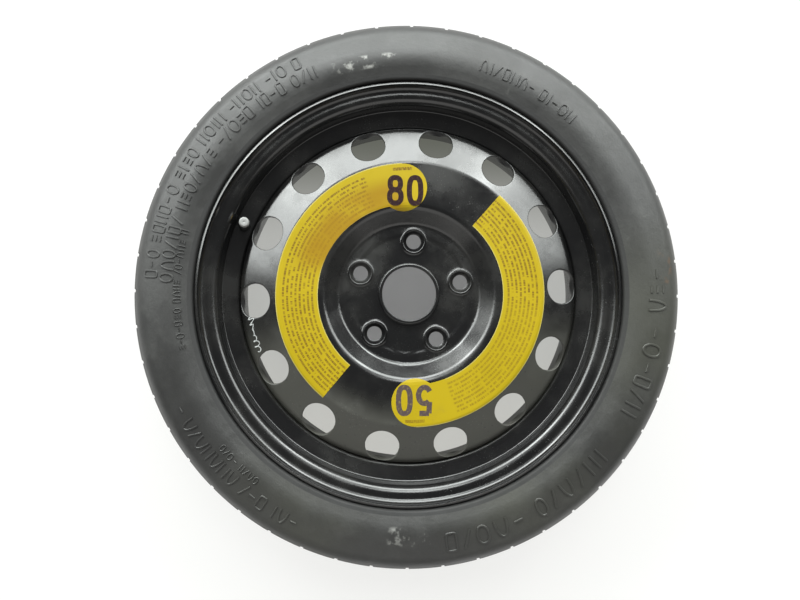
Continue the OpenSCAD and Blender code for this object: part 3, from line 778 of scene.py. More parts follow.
def wheel_plan(wheel):
    """Levels, radii and sheet lines of rim and disc, worked out from the driving sizes.

    A corner is its radius, its level and the radius of its bend."""
    p = SimpleNamespace()
    p.seat = wheel.seat_diameter / 2
    p.half_width = wheel.rim_width / 2
    p.rim_half = wheel.rim_sheet / 2
    p.disc_half = wheel.disc_sheet / 2
    p.flange_height = 17.3 * MM
    p.lip_length = 11.5 * MM
    p.lip_radius = p.seat + p.flange_height - p.rim_half
    p.lip_top = p.half_width + p.lip_length
    p.seat_line = p.seat - p.rim_half
    p.flange_level = p.half_width + p.rim_half
    p.seat_reach = 13.5 * MM
    p.seat_taper = math.tan(math.radians(5))
    p.seat_end = p.seat_line - p.seat_reach * p.seat_taper
    p.hump_reach = 4 * MM
    p.hump_rise = 0.8 * MM
    p.shoulder = p.half_width - p.seat_reach - 2 * p.hump_reach
    well_depth, back_slope = 20.6 * MM, math.radians(30)
    p.well_line = p.seat - well_depth - p.rim_half
    p.well_inside = p.well_line - p.rim_half
    p.valve_lean = math.radians(10)
    p.well_front = p.shoulder - (p.seat_end - p.well_line) * math.tan(p.valve_lean)
    p.well_back = -p.shoulder + (p.seat_end - p.well_line) * math.tan(back_slope)
    lip_bend = 8.3 * MM
    heel_bend = 6.5 * MM + p.rim_half
    well_bend = 3.6 * MM
    shoulder_bend = 3.2 * MM
    seat_bend = 12 * MM
    hump_bend = 3 * MM
    hump = p.half_width - p.seat_reach - p.hump_reach
    front = [
        [p.lip_radius, p.lip_top, 0],
        [p.lip_radius, p.flange_level, lip_bend],
        [p.seat_line, p.flange_level, heel_bend],
        [p.seat_end, p.half_width - p.seat_reach, seat_bend],
        [p.seat_end + p.hump_rise, hump, hump_bend],
        [p.seat_end, p.shoulder, shoulder_bend]]
    well = [[p.well_line, p.well_front, well_bend], [p.well_line, p.well_back, well_bend]]
    p.rim_corners = front + well + [[radius, -level, bend] for radius, level, bend in reversed(front)]
    p.offset = 25.5 * MM
    bowl_depth, collar_height, flange_depth, vent_inset = 15.5 * MM, 5 * MM, 26 * MM, 17.5 * MM
    p.pad_line = p.offset + p.disc_half
    p.pad_face = p.offset + 2 * p.disc_half
    p.face_line = p.pad_line + bowl_depth
    p.pad_radius = 75 * MM
    p.bowl_radius = 92 * MM
    p.crease = 138 * MM
    p.cone = math.radians(22.5)
    p.bore = 57.1 * MM / 2
    p.collar_line = p.bore + p.disc_half
    p.step_radius = 61 * MM
    p.step_reach = 3.5 * MM
    p.step_rise = 0.7 * MM
    p.disc_edge = p.well_inside - p.disc_half
    p.disc_edge_level = p.face_line - (p.disc_edge - p.crease) * math.tan(p.cone)
    p.flange_end = p.disc_edge_level - flange_depth
    p.disc_corners = [
        [p.collar_line, p.pad_face + collar_height, 0],
        [p.collar_line, p.pad_line, p.disc_half + 0.3 * MM],
        [p.step_radius, p.pad_line, 3 * MM],
        [p.step_radius + p.step_reach, p.pad_line + p.step_rise, 3 * MM],
        [p.pad_radius, p.pad_line + p.step_rise, 9 * MM],
        [p.bowl_radius, p.face_line, 9 * MM],
        [p.crease, p.face_line, 6 * MM],
        [p.disc_edge, p.disc_edge_level, 8 * MM],
        [p.disc_edge, p.flange_end, 0]]
    p.vent_ring = p.well_inside - vent_inset
    valve_rise, valve_gap = 8 * MM, 0.8 * MM
    p.valve_wall = p.well_inside + wheel.rim_sheet + valve_rise + valve_gap
    return p


def tyre_plan(tyre, p):
    """Section of the tyre outside and inside, for its upper half, bead toe first.

    A corner is its radius, its level and the radius of its bend."""
    t = SimpleNamespace()
    t.radius = tyre.diameter / 2
    t.half_width = tyre.width / 2
    t.tread = tyre.tread_width / 2
    drop = 5 * MM
    t.edge = t.radius - drop
    t.crown = (t.tread ** 2 + drop ** 2) / (2 * drop)
    height = t.radius - p.seat
    t.belly = p.seat + 0.466 * height
    gap = 0.1 * MM
    bead = p.seat + gap
    face = p.half_width - gap
    toe_level = p.half_width - p.seat_reach + 1.2 * MM
    toe = bead - (p.half_width - toe_level) * p.seat_taper
    clear = 1.8 * MM
    lip = p.seat + p.flange_height + clear
    t.outside = [
        [toe, toe_level, 0.8 * MM],
        [bead, face, 7 * MM],
        [lip, face, 8.3 * MM + p.rim_half + clear],
        [lip, p.lip_top + 1.5 * MM, 3 * MM],
        [t.belly, t.half_width + 1.3 * MM, 1.55 * (t.belly - lip)],
        [t.edge - 0.1 * height, t.tread + 15 * MM, 0.23 * height],
        [t.edge, t.tread, 6 * MM]]
    t.inside = [
        [toe + 2.5 * MM, toe_level - 2 * MM, 2 * MM],
        [bead + p.flange_height, p.half_width - 10 * MM, 12 * MM],
        [t.belly, t.half_width - 6.5 * MM, t.belly - lip],
        [t.edge - 13 * MM, t.tread + 1 * MM, 0.25 * height]]
    t.groove_reach = 7 * MM
    t.groove_depth = 4.5 * MM
    t.grooves = np.array([-0.6, -0.21, 0.21, 0.6]) * t.tread
    return t


def crown_radius(t, level):
    """Radius of the tread at a level, an arc through its middle and both edges."""
    return t.radius - t.crown + np.sqrt(t.crown ** 2 - level ** 2)


# The wheel


def build_disc(wheel, p):
    """Pressed disc: collar, pad with ball-seat bosses, bowl, flat face, cone with vents, and flange."""
    line = Line(p.disc_corners, arc_step=8)
    skin = Skin()
    half = p.disc_half
    columns = 280
    angles = np.linspace(0, 2 * math.pi, columns, endpoint=False)
    bolt_zone, bowl_way, flange_reach = (36 * MM, 80 * MM), 100 * MM, 30 * MM
    bolt_in, bolt_out = (line.way_at_radius(radius, 0, bowl_way) for radius in bolt_zone)
    vent_way = line.way_at_radius(p.vent_ring, bowl_way / 2, line.length - flange_reach)
    vent_in, vent_out = vent_way - 21 * MM, vent_way + 23.5 * MM
    edge, collar_edge, vent_edge, vent_rings = 0.8 * MM, 1.9 * MM, 0.7 * MM, 14

    collar, bore_wall = line.between(collar_edge, bolt_in), line.between(edge, bolt_in)
    rounding = sheet_end(0, half, collar_edge, edge, 1)[::-1]
    spin_end(skin, line, bore_wall[::-1], rounding, collar, -half, angles)
    for side in (half, -half):
        spin(skin, line, line.between(bolt_out, vent_in), side, angles)
    outer = line.between(vent_out, line.length - edge)
    rounding = sheet_end(line.length, half, edge, edge, -1)
    spin_end(skin, line, outer, rounding, outer[::-1], half, angles)

    step = 2 * math.pi / wheel.vents
    vent_angles = np.linspace(-step / 2, step / 2, columns // wheel.vents + 1)
    turns = START + step * np.arange(wheel.vents)
    holed_sheet(skin, line, line.between(vent_in, vent_out), vent_angles, vent_way,
                wheel.vent_diameter / 2, half, vent_edge, vent_rings, turns)
    bolt_patches(skin, line, wheel, p, line.between(bolt_in, bolt_out), columns)
    return skin.piece("disc_skin", "black_paint", "wheel", *STEEL_EDGES)


def bolt_patches(skin, line, wheel, p, ways, columns):
    """The bolt sectors: rings round each hole for ball seat, boss and foot, then a blend to the border."""
    step = 2 * math.pi / wheel.bolts
    angles = np.linspace(-step / 2, step / 2, columns // wheel.bolts + 1)
    centre = wheel.bolt_circle / 2
    hole, ball = 15.5 / 2 * MM, 13 * MM
    seat_floor, boss_rise, land = p.offset + 2.5 * MM, 2.2 * MM, 0.9 * MM
    ball_level = seat_floor + math.sqrt(ball ** 2 - hole ** 2)
    boss_top = p.pad_face + boss_rise
    crest = math.sqrt(ball ** 2 - (ball_level - boss_top) ** 2) + land
    way_border, angle_border = frame_round(ways, angles)
    dense = np.linspace(ways[0], ways[-1], 3000)
    border = turned(line.at(way_border)[0], 0, angle_border)
    bearing = np.arctan2(border[:, 1], border[:, 0] - centre)

    def laid(rings, height, offset, steps):
        """Circles round the hole in plan, then a straight blend to the border, each at its height."""
        shares = np.linspace(0, 1, steps + 1)[1:, None]
        radii, levels = line.at(dense, offset)
        x = centre + rings[:, None] * np.cos(bearing)
        y = rings[:, None] * np.sin(bearing)
        border = turned(line.at(way_border, offset)[0], 0, angle_border)
        x = np.concatenate([x, x[-1] + (border[:, 0] - x[-1]) * shares])
        y = np.concatenate([y, y[-1] + (border[:, 1] - y[-1]) * shares])
        level = np.interp(np.hypot(x, y), radii, levels)
        level[:len(rings)] = height(rings[:, None], level[:len(rings)])
        return np.stack([x, y, level], axis=-1)

    def front(ring, level):
        """The lower of boss and ball seat, then the sheet: the boss is the higher of flank and sheet.

        The choice between two levels a and b is rounded over a width w: a + b, plus or minus the root
        of (a - b)^2 + w^2, halved."""
        steepness, foot, lip, fade_width = 1.3, 1.6 * MM, 0.45 * MM, 3.5 * MM
        crown, settle, far_above = 0.2 * MM, 0.1 * MM, boss_top + 9 * MM
        flank = boss_top + crown - np.maximum(ring - crest, 0) * steepness
        raised = (flank + level + np.sqrt((flank - level) ** 2 + foot ** 2)) / 2 - settle
        seat = np.where(ring < ball, ball_level - np.sqrt(np.maximum(ball ** 2 - ring ** 2, 0)), far_above)
        both = (raised + seat - np.sqrt((raised - seat) ** 2 + lip ** 2)) / 2
        fade = np.clip((front_rings[-1] - ring) / fade_width, 0, 1)
        return both * fade + level * (1 - fade)

    def back(ring, level):
        """A shallow relief round the hole, then the sheet."""
        rise, run, width = 1 * MM, 3, 2.9 * MM
        relief = np.maximum(p.offset + rise - (ring - hole) / run, p.offset)
        return np.where(ring < hole + width, relief, level)

    front_rings = np.array([7.75, 7.9, 8.3, 9, 9.8, 10.4, 10.8, 11.2, 11.6, 12, 12.4, 12.9, 13.4, 13.9,
                            14.5, 15.2, 16, 17, 18.5]) * MM
    back_rings = np.array([7.75, 10.75, 13, 18.5]) * MM
    top = laid(front_rings, front, p.disc_half, 15)
    low = laid(back_rings, back, -p.disc_half, 5)
    patch = np.concatenate([low[::-1], top])
    for turn in START + step * np.arange(wheel.bolts):
        skin.grid(rotated(patch, turn), wrap_columns=True)


def lip_end(half):
    """Ways and offsets round the lip's end, inner face first: a short crest, then a slope outwards.

    A place close to each end of the slope keeps it flat in shading."""
    crest, fall, slope, reach = 0.15 * MM, 2.6 * MM, 0.4, 1.7 * MM
    inner = [(reach, -half), (0.12 * MM, -half), (0.03 * MM, 0.1 * MM - half)]
    outer = [(share * fall * slope, crest - half + share * fall) for share in (0, 0.08, 0.92, 1)]
    side = [(fall * slope + 0.25 * MM, half - 0.05 * MM), (reach, half)]
    return np.array(inner + outer + side)


def build_rim(p):
    """Rolled rim: one sheet from outer lip over seat and well to inner lip, with the valve hole."""
    line = Line(p.rim_corners, arc_step=8, run_step=16 * MM)
    skin = Skin()
    half = p.rim_half
    columns = 240
    step = 2 * math.pi / columns
    angles = np.arange(columns) * step
    slack, patch_reach = 0.5 * MM, 6.9 * MM
    hole, edge, hole_rings, hole_columns = 11.5 / 2 * MM, 0.3 * MM, 3, 4
    ways = np.linspace(0, line.length / 2, 6000)
    radii, levels = line.at(ways)
    wall = (levels < p.shoulder + slack) & (levels > p.well_front - slack)
    valve_way = np.interp(-p.valve_wall, -radii[wall], ways[wall])
    low, high = valve_way - patch_reach, valve_way + patch_reach

    end = lip_end(half)
    far_end = np.stack([line.length - end[::-1, 0], end[::-1, 1]], axis=1)
    reach = end[:, 0].max()
    front, rear = line.between(reach, low), line.between(high, line.length - reach)
    spin_end(skin, line, front[::-1], end, front, -half, angles)
    spin_end(skin, line, rear, far_end, rear[::-1], half, angles)
    wall_ways = np.linspace(low, high, 7)
    around = START + step * np.arange(hole_columns, columns - hole_columns + 1)
    for side in (half, -half):
        spin(skin, line, wall_ways, side, around, wrap=False)
    patch_angles = np.arange(-hole_columns, hole_columns + 1) * step
    holed_sheet(skin, line, wall_ways, patch_angles, valve_way, hole, half, edge, hole_rings, [START])
    return skin.piece("rim_skin", "black_paint", "wheel", *STEEL_EDGES)


# The tyre


def tyre_section(t):
    """The tyre's closed section, from one bead over the tread to the other and back inside.

    With it come the counts of places on one outer side and on the tread."""
    outside = walk(t.outside, math.radians(9), 4.5 * MM)[0]
    flank = t.groove_reach / 2
    guard, slope, clear, margin = 0.6 * MM, 1.4 * MM, 1.5 * MM, 3 * MM
    across = np.array([flank + guard, flank, flank - slope])
    across = np.concatenate([across, -across[::-1]])
    levels = (t.grooves[::-1, None] + across).ravel()
    depth = np.tile([0, 0, t.groove_depth, t.groove_depth, 0, 0], len(t.grooves))
    lands = np.linspace(t.tread - margin, -t.tread + margin, 22)
    lands = lands[(np.abs(lands[:, None] - t.grooves[None]) >= flank + clear).all(axis=1)]
    levels = np.concatenate([levels, lands])
    depth = np.concatenate([depth, np.zeros(len(lands))])
    order = np.argsort(-levels)
    levels, depth = levels[order], depth[order]
    tread = np.stack([crown_radius(t, levels) - depth, levels], axis=1)
    inside = walk(t.inside, math.radians(15), 12 * MM)[0]
    flip = [1, -1]
    places = np.concatenate([outside, tread, outside[::-1] * flip, inside * flip, inside[::-1]])
    return places, len(outside), len(tread)


def build_tyre(tyre, t):
    """Tyre: its section turned round the axis, with a slot cut into each shoulder at every pitch.

    The angles are close together at a slot's walls. A point near the shoulder moves inwards, along the
    line between tread and sidewall, by the slot's depth times a window along the section."""
    section, outside, tread = tyre_section(t)
    pitch = 2 * math.pi / tyre.notches
    slot, wall = 1.5 * MM / t.edge, 0.25 * MM / t.edge
    inner = np.array([-slot - wall, -slot, slot, slot + wall])
    between = np.linspace(slot + wall, pitch - slot - wall, 8)[1:-1]
    one = np.concatenate([inner, between])
    angles = (START + np.arange(tyre.notches)[:, None] * pitch + one[None]).ravel()
    cut = np.tile(np.concatenate([[0, 1, 1, 0], np.zeros(len(between))]), tyre.notches)
    radius = np.repeat(section[:, :1], len(angles), axis=1)
    height = np.repeat(section[:, 1:], len(angles), axis=1)
    lean, depth, reach, fade = math.radians(38), 1.8 * MM, 8 * MM, 1.2 * MM
    last = outside * 2 + tread
    for side in (1, -1):
        along = (section[:, 1] * side - t.tread) * math.cos(lean) - (section[:, 0] - t.edge) * math.sin(lean)
        window = np.clip((reach - np.abs(along)) / fade, 0, 1)
        window[last:] = 0
        window[side * section[:, 1] < 0] = 0
        which = cut if side > 0 else np.roll(cut, len(one) // 2)
        sink = window[:, None] * which[None] * depth
        radius = radius - sink * math.cos(lean)
        height = height - side * sink * math.sin(lean)
    skin = Skin()
    skin.grid(turned(radius, height, angles[None]), wrap_rows=True, wrap_columns=True)
    return skin.piece("tyre_skin", "tyre_rubber", "wheel", *TYRE_EDGES)


def sidewall_point(side, arc, out, lift, centre_radius, clock):
    """Points on the upper sidewall: arc along it, out from the axis, lift off its surface."""
    foot, past_bead = 228 * MM, 20 * MM
    low = side.way_at_radius(foot, past_bead, side.length)
    way = side.way_at_radius(centre_radius + out, low, side.length)
    return turned(*side.at(way, lift), PHOTO_UP - math.radians(clock) - arc / centre_radius)


# Plain marks that stand in the places of the moulded print, with their widths as shares of their height
MARK_WIDTHS = {
    "ring": 0.6, "box": 0.5, "bar": 0.16, "lean": 0.4, "pair": 0.5, "dash": 0.45, "arch": 0.62, "steps": 0.45}

# Rows of marks: clock angles from and to, then radius, height, stroke and gap in millimetres
MARK_ROWS = (
    (272, 334, 264, 13, 2, 3.8),
    (271, 336, 247.5, 13, 2, 3.8),
    (82, 118, 256, 19, 2.5, 7),
    (128, 173, 256, 19, 2.5, 7),
    (205, 242, 260, 14, 2, 4),
    (16, 42, 247, 12, 1.6, 3.6),
    (255, 284, 236.5, 7, 1.2, 2.6),
    (218, 231, 245, 7, 1.2, 2.6))


def mark_paths(kind, wide, tall):
    """Centre lines of one mark: pairs of a path and whether it closes."""
    x, y = wide / 2, tall / 2
    if kind in ("ring", "box"):
        power, count = {"ring": (2.2, 28), "box": (6, 36)}[kind]
        return [(oval(wide, tall, power, count), True)]
    if kind == "arch":
        sweep = np.linspace(0, math.pi, 16)
        return [(np.stack([x * np.cos(sweep), tall * np.sin(sweep) - y], axis=1), False)]
    bars = {
        "bar": [((0, -y), (0, y))],
        "lean": [((-x, -y), (x, y))],
        "pair": [((-x, -y), (-x, y)), ((x, -y), (x, y))],
        "dash": [((-x, 0), (x, 0))],
        "steps": [((-x, h), (x, h)) for h in (-0.7 * y, 0, 0.7 * y)]}
    return [(straight(*ends), False) for ends in bars[kind]]


def build_marks(tyre, t):
    """Moulded marks of the sidewall: plain rings, bars and arches in the places of the moulded print."""
    side = Line(t.outside)
    skin = Skin()
    rng = np.random.default_rng(11)

    def row(start, stop, radius, tall, width, gap):
        """A row of marks from one clock angle to another, in groups of a few, no kind twice in a turn."""
        sunk, group_gap = 0.5 * MM, gap * 1.6
        clock, last, left_over = start, None, 0
        while clock < stop:
            if left_over == 0:
                left_over = int(rng.integers(3, 8))
                clock += math.degrees(group_gap / radius)
            kind = str(rng.choice([name for name in MARK_WIDTHS if name != last]))
            wide = tall * MARK_WIDTHS[kind] * rng.uniform(0.88, 1.12)
            clock += math.degrees(wide / 2 / radius)
            for path, closed in mark_paths(kind, wide, tall):
                points = stroke(path, width, tyre.mark_height, sunk, closed, taper=0.6)
                placed = sidewall_point(side, *np.moveaxis(points, -1, 0), radius, clock)
                add_stroke(skin, placed, closed)
            clock += math.degrees((wide / 2 + gap * rng.uniform(0.85, 1.2)) / radius)
            last, left_over = kind, left_over - 1

    for start, stop, *sizes in MARK_ROWS:
        row(start, stop, *(size * MM for size in sizes))
    return skin.piece("sidewall_marks", "tyre_rubber", "wheel", *MARK_EDGES)


# Labels


def seen_on_level(studio, column, row, level):
    """The place on a level plane that the photograph shows at a pixel, in the photograph's own axes."""
    focus = studio.lens / SENSOR * PHOTO_WIDTH
    ray = np.array([(column - PHOTO_WIDTH / 2) / focus, (PHOTO_HEIGHT / 2 - row) / focus, -1.0])
    aim = np.array(camera_turn(studio).to_3x3()) @ ray
    eye = np.array(studio.eye)
    return eye + aim * (level - eye[2]) / aim[2]


def camera_turn(studio):
    """Camera to photograph axes: the pitch and yaw that carry these axes to the camera's, turned back."""
    pitch = Matrix.Rotation(studio.pitch, 4, "X")
    yaw = Matrix.Rotation(studio.yaw, 4, "Y")
    return (pitch @ yaw).inverted()


def photo_to_wheel(points):
    """Turns points from the photograph's axes to the wheel's."""
    return rotated(points, PHOTO_TURN)


# Each label's own centre off the wheel's axis, and the pixels where the numerals' middles are seen
LABEL_CENTRES = {"label_upper": (-2.1 * MM, -0.1 * MM), "label_lower": (0.9 * MM, -2.9 * MM)}
UPPER_NUMERAL_SEEN = (405.2, 190.3)
LOWER_NUMERAL_SEEN = (414.3, 400.4)


def numeral_paths(tall, stroke_width):
    """Centre lines of the digits: closed ovals for 0 and for both bowls of 8, an open hook for 5.

    The numbers are shares of a digit's height and width."""
    line = tall - stroke_width
    wide = tall * 0.54 - stroke_width
    zero = [(oval(wide, line, 2.7), True)]
    upper = oval(wide * 0.9, line * 0.48, 2.4, 36, (0, line * 0.26))
    lower = oval(wide, line * 0.52, 2.4, 36, (0, -line * 0.24))
    eight = [(upper, True), (lower, True)]
    sweep = np.radians(np.linspace(135, -150, 22))
    bowl = np.stack([wide * (0.52 * np.cos(sweep) - 0.02), line * (0.31 * np.sin(sweep) - 0.19)], axis=1)
    top = np.array([[wide * 0.42, line / 2], [-wide * 0.4, line / 2], [-wide * 0.45, line * 0.06]])
    five = [(straight(*top[:2]), False), (straight(*top[1:]), False), (bowl, False)]
    return {"0": zero, "8": eight, "5": five}


def build_numeral(name, digits, centre, turn, studio, label, level):
    """Two digits side by side, printed flat on the label, centred on a place that the photograph shows."""
    skin = Skin()
    paths = numeral_paths(label.numeral_height, label.stroke)
    pitch = label.numeral_height * 0.64
    middle = seen_on_level(studio, *centre, level)
    rise, overlap, sunk = 0.05 * MM, 0.006 * MM, 0.12 * MM
    for place, digit in enumerate(digits):
        shift = (place - (len(digits) - 1) / 2) * pitch
        for order, (path, closed) in enumerate(paths[digit]):
            points = stroke(path + [shift, 0], label.stroke, rise + overlap * order, sunk, closed, taper=0.5)
            placed = rotated(points, turn) + [middle[0], middle[1], level]
            add_stroke(skin, photo_to_wheel(placed), closed)
    return skin.piece(name, "yellow_film", "wheel", *MARK_EDGES)


def build_scribble(p):
    """A short line drawn on the cone with a paint pen: a sine whose swing and pace vary along it."""
    line = Line(p.disc_corners)
    skin = Skin()
    t = np.linspace(0, 1, 160)
    reach, centre, clock = 40 * MM, 168 * MM, math.radians(255)
    width, height, sunk = 0.8 * MM, 0.06 * MM, 0.15 * MM
    swing, waves, drift = 3.1 * MM, 6.5, 1.5 * MM
    wave = swing * np.sin(t * 2 * math.pi * waves) * (0.55 + 0.45 * np.sin(t * 9 + 1))
    path = np.stack([(t - 0.5) * reach + drift * np.sin(t * 43), wave], axis=1)
    arc, out, lift = np.moveaxis(stroke(path, width, height, sunk), -1, 0)
    way = line.way_at_radius(centre + out, 100 * MM, line.length - 25 * MM)
    add_stroke(skin, turned(*line.at(way, p.disc_half + lift), PHOTO_UP - clock + arc / centre))
    return skin.piece("pen_scribble", "black_paint", "wheel", *MARK_EDGES)


# The valve


def valve_point(points, p):
    """Carries points from the valve's own line, along its z, to the wheel."""
    lean = p.valve_lean
    cosine, sine = math.cos(lean), math.sin(lean)
    outer_level = p.shoulder - (p.seat_end - p.valve_wall) * math.tan(lean) + p.rim_half / cosine
    x, y, z = np.moveaxis(points, -1, 0)
    leant = np.stack([x * cosine - z * sine + p.valve_wall, y, x * sine + z * cosine + outer_level], axis=-1)
    return rotated(leant, START)


def build_spring(p):
    """Coil spring of the valve core: a round wire carried up a helix, its end turns laid close."""
    foot, head, travel = 15.9 * MM, 22.9 * MM, 1.5 * MM
    wire, radius, turns = 0.3 * MM, 0.95 * MM, 7
    close = wire * 1.2
    wound = head - foot - wire - close
    steps = 24
    u = np.linspace(0, turns, turns * steps + 1)
    rise = foot + wire / 2 + np.interp(u, [0, 1, turns - 1, turns], [0, close, wound, wound + close])
    around = np.linspace(0, 2 * math.pi, 10, endpoint=False)
    points = turned(radius + wire / 2 * np.cos(around), rise[:, None] + wire / 2 * np.sin(around),
                    2 * math.pi * u[:, None])
    skin = Skin()
    add_stroke(skin, valve_point(points, p))
    spring = skin.piece("spring_wire", "spring_steel", "wheel", *WIRE_EDGES)
    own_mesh(spring)
    return spring


# The studio


WINDOW_LIGHT, WALL_LIGHT = (0.96, 1, 0.98), (1, 0.99, 0.95)

# Lamps: clock and elevation in degrees, distance, width and height in metres, radiance and colour
LAMPS = (
    ("window", -3, 30, 4, 6.4, 1.55, 9.3, WINDOW_LIGHT),
    ("window_left", -55, 30, 4, 2.8, 1.55, 7, WINDOW_LIGHT),
    ("window_right", 53, 30, 4, 2.8, 1.55, 5.5, WINDOW_LIGHT),
    ("window_top", 0, 54, 4, 8, 1.7, 1.3, WINDOW_LIGHT),
    ("ceiling_lamp", 2, 58, 4, 0.8, 1.5, 7, WINDOW_LIGHT),
    ("lower_wall", 180, 38, 4, 8, 2.8, 0.8, WALL_LIGHT))

FLOOR_REACH = 40.0
FLOOR_GLOW = (0.78, 0.78, 0.765)
WORLD_STRENGTH = 0.1


def panel_light(name, clock, elevation, distance, width, height, radiance, colour):
    """An area light on a sphere round the wheel, facing its middle; clock 0 is the image's upper side."""
    data = bpy.data.lights.new(name, "AREA")
    data.shape = "RECTANGLE"
    data.size = width
    data.size_y = height
    data.energy = radiance * math.pi * width * height
    data.color = colour
    lamp = linked(name, data)
    clock, elevation = math.radians(clock), math.radians(elevation)
    flat = distance * math.cos(elevation)
    lamp.location = photo_to_wheel(
        np.array([flat * math.sin(clock), flat * math.cos(clock), distance * math.sin(elevation)]))
    towards = -unit(np.array(lamp.location))
    side = unit(np.cross([0, 0, 1], towards))
    aim = Matrix(np.stack([side, np.cross(side, towards), -towards], axis=1).tolist())
    lamp.rotation_euler = aim.to_euler()


def floor_finish(colour):
    """Pale floor that keeps its shadow; seen directly it has a light of its own, for a white ground.

    That light fades under the wheel, where the photograph shows the floor grey through the vents and
    the bore, darker towards the upper edge."""
    f = Finish("floor")
    kinds = ("Is Camera Ray", "Is Glossy Ray", "Is Transmission Ray")
    camera, glossy, through = (f.node("ShaderNodeLightPath", output=kind) for kind in kinds)
    dial = f.dial()
    # Painted shadow: under the wheel the floor's own light is lower, darkest under the bore and towards the
    # upper edge
    low, middle, high, bore = (0.51, 0.51, 0.48), (0.43, 0.435, 0.415), (0.12, 0.125, 0.105), (0.17,) * 3
    shade = f.mix(f.smooth(dial.up, -160 * MM, 0), low, middle)
    shade = f.mix(f.smooth(dial.up, 60 * MM, 200 * MM), shade, high)
    under = f.mix(f.smooth(dial.radius, 70 * MM, 130 * MM), bore, shade)
    ground = f.mix(f.smooth(dial.radius, 230 * MM, 280 * MM), under, FLOOR_GLOW)
    seen = f.mix(f.clip(camera + glossy + through), (0, 0, 0), ground)
    return f.wear(Base_Color=tuple(colour), Roughness=0.9, Specular_IOR_Level=0.1, Emission_Color=seen,
                  Emission_Strength=1)


# Operators


class MakeTyre(bpy.types.Operator):
    """Builds the tyre and its moulded marks over the tyre's solid."""

    bl_idname = "spare_wheel.tyre"
    bl_label = "Tyre"

    def execute(self, context):
        tyre = context.scene.spare_wheel_tyre
        t = tyre_plan(tyre, wheel_plan(context.scene.spare_wheel_steel))
        skin = build_tyre(tyre, t)
        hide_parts("tyre")
        marks = build_marks(tyre, t)
        give(rubber_finish(tuple(tyre.rubber)), skin, marks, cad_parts["tyre"])
        return {"FINISHED"}


class MakeWheel(bpy.types.Operator):
    """Builds the rim and the pressed disc over their solids, and paints them."""

    bl_idname = "spare_wheel.wheel"
    bl_label = "Rim and disc"

    def execute(self, context):
        steel = context.scene.spare_wheel_steel
        p = wheel_plan(steel)
        paint = tuple(steel.paint)
        rim = build_rim(p)
        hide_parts("rim")
        give(paint_finish("rim_paint", paint, 0.6), rim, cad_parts["rim"])
        disc = build_disc(steel, p)
        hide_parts("wheel_disc")
        give(paint_finish("disc_paint", paint, 0.8), disc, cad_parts["wheel_disc"])
        give(scribble_finish(), build_scribble(p))
        return {"FINISHED"}


class MakeLabels(bpy.types.Operator):
    """Prints the two label films and lays the large numerals on them."""

    bl_idname = "spare_wheel.labels"
    bl_label = "Labels"

    def execute(self, context):
        scene = context.scene
        label = scene.spare_wheel_label
        p = wheel_plan(scene.spare_wheel_steel)
        for node, centre in LABEL_CENTRES.items():
            give(film_finish(label, node + "_film", centre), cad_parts[node])
        film = 0.25 * MM
        level = p.face_line + p.disc_half + film
        studio = scene.spare_wheel_studio
        upper = build_numeral("numeral_upper", "80", UPPER_NUMERAL_SEEN, 0.0, studio, label, level)
        give(ink_finish("ink", label.ink, 0.15), upper)
        lower = build_numeral("numeral_lower", "50", LOWER_NUMERAL_SEEN, math.pi, studio, label, level)
        give(ink_finish("worn_ink", label.faded_ink, 0.45), lower)
        return {"FINISHED"}


class MakeValve(bpy.types.Operator):
    """Finishes the valve's rubber, brass, seals and cap, and builds its coil spring."""

    bl_idname = "spare_wheel.valve"
    bl_label = "Valve"

    def execute(self, context):
        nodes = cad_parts
        rubber = plain_finish("valve_rubber", (0.02, 0.02, 0.021), 0.45, 500, 0.08)
        brass = plain_finish("brass", (0.62, 0.44, 0.17), 0.25, 900, 0.02, metal=1.0)
        seal = plain_finish("soft_seal", (0.015, 0.015, 0.015), 0.6, 900, 0.03)
        cap = plain_finish("cap_plastic", (0.34, 0.34, 0.335), 0.35, 700, 0.05, vary=0.18)
        steel = plain_finish("spring_steel", (0.6, 0.6, 0.58), 0.3, 1500, 0.01, metal=1.0)
        spring = build_spring(wheel_plan(context.scene.spare_wheel_steel))
        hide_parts("core_spring")
        give(rubber, nodes["valve_body"])
        turned_parts = ("valve_stem", "core_plug", "core_barrel", "core_pin", "core_cup")
        give(brass, *(nodes[name] for name in turned_parts))
        give(seal, *(nodes[name] for name in ("barrel_seal", "cup_seal", "cap_seal")))
        give(cap, nodes["valve_cap"])
        give(steel, nodes["core_spring"], spring)
        return {"FINISHED"}


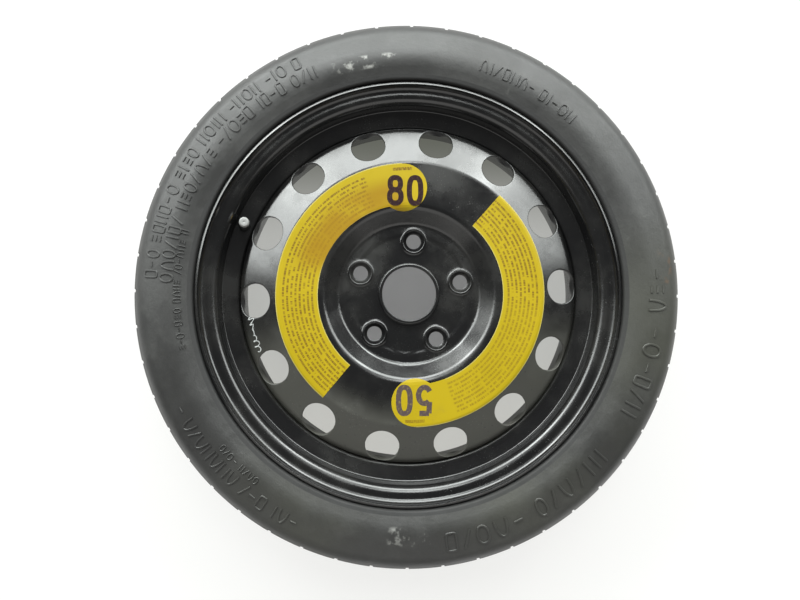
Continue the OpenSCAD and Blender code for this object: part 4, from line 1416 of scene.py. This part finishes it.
class MakeStudio(bpy.types.Operator):
    """Sets the floor, the lights and the camera at the photograph's place."""

    bl_idname = "spare_wheel.studio"
    bl_label = "Studio"

    def execute(self, context):
        scene = context.scene
        studio = scene.spare_wheel_studio
        ground = CAD_BOX[0][2]
        signs = ((-1, -1), (1, -1), (1, 1), (-1, 1))
        corners = [(x * FLOOR_REACH, y * FLOOR_REACH, ground) for x, y in signs]
        mesh = bpy.data.meshes.new("floor")
        mesh.from_pydata(corners, [], [(0, 1, 2, 3)])
        floor = linked("floor", mesh)
        give(floor_finish(studio.floor), floor)

        world = bpy.data.worlds.new("studio")
        scene.world = world
        world.use_nodes = True
        sky = world.node_tree.nodes["Background"]
        sky.inputs["Color"].default_value = (1, 1, 1, 1)
        sky.inputs["Strength"].default_value = WORLD_STRENGTH
        for lamp in LAMPS:
            panel_light(*lamp)

        data = bpy.data.cameras.new("camera")
        data.lens = studio.lens
        data.sensor_width = SENSOR
        camera = linked("camera", data)
        turn = Matrix.Rotation(PHOTO_TURN, 4, "Z")
        camera.matrix_world = turn @ Matrix.Translation(tuple(studio.eye)) @ camera_turn(studio)
        scene.camera = camera
        scene.view_settings.view_transform = "Standard"
        return {"FINISHED"}


class SpareWheelPanel(bpy.types.Panel):
    """Lists the pieces of the spare wheel in the sidebar."""

    bl_idname = "VIEW3D_PT_spare_wheel"
    bl_label = "Spare wheel"
    bl_space_type = "VIEW_3D"
    bl_region_type = "UI"
    bl_category = "Spare wheel"

    def draw(self, context):
        for operator in STEPS:
            self.layout.operator(operator.bl_idname)


STEPS = (MakeTyre, MakeWheel, MakeLabels, MakeValve, MakeStudio)
GROUPS = (
    ("spare_wheel_steel", WheelSizes),
    ("spare_wheel_tyre", TyreSizes),
    ("spare_wheel_label", LabelSizes),
    ("spare_wheel_studio", StudioSizes))


def register():
    for name, group in GROUPS:
        bpy.utils.register_class(group)
        setattr(bpy.types.Scene, name, bpy.props.PointerProperty(type=group))
    for operator in STEPS:
        bpy.utils.register_class(operator)
    bpy.utils.register_class(SpareWheelPanel)


def unregister():
    bpy.utils.unregister_class(SpareWheelPanel)
    for operator in reversed(STEPS):
        bpy.utils.unregister_class(operator)
    for name, group in reversed(GROUPS):
        delattr(bpy.types.Scene, name)
        bpy.utils.unregister_class(group)


def main():
    register()
    bpy.ops.spare_wheel.tyre()
    bpy.ops.spare_wheel.wheel()
    bpy.ops.spare_wheel.labels()
    bpy.ops.spare_wheel.valve()
    bpy.ops.spare_wheel.studio()


if __name__ == "__main__":
    main()
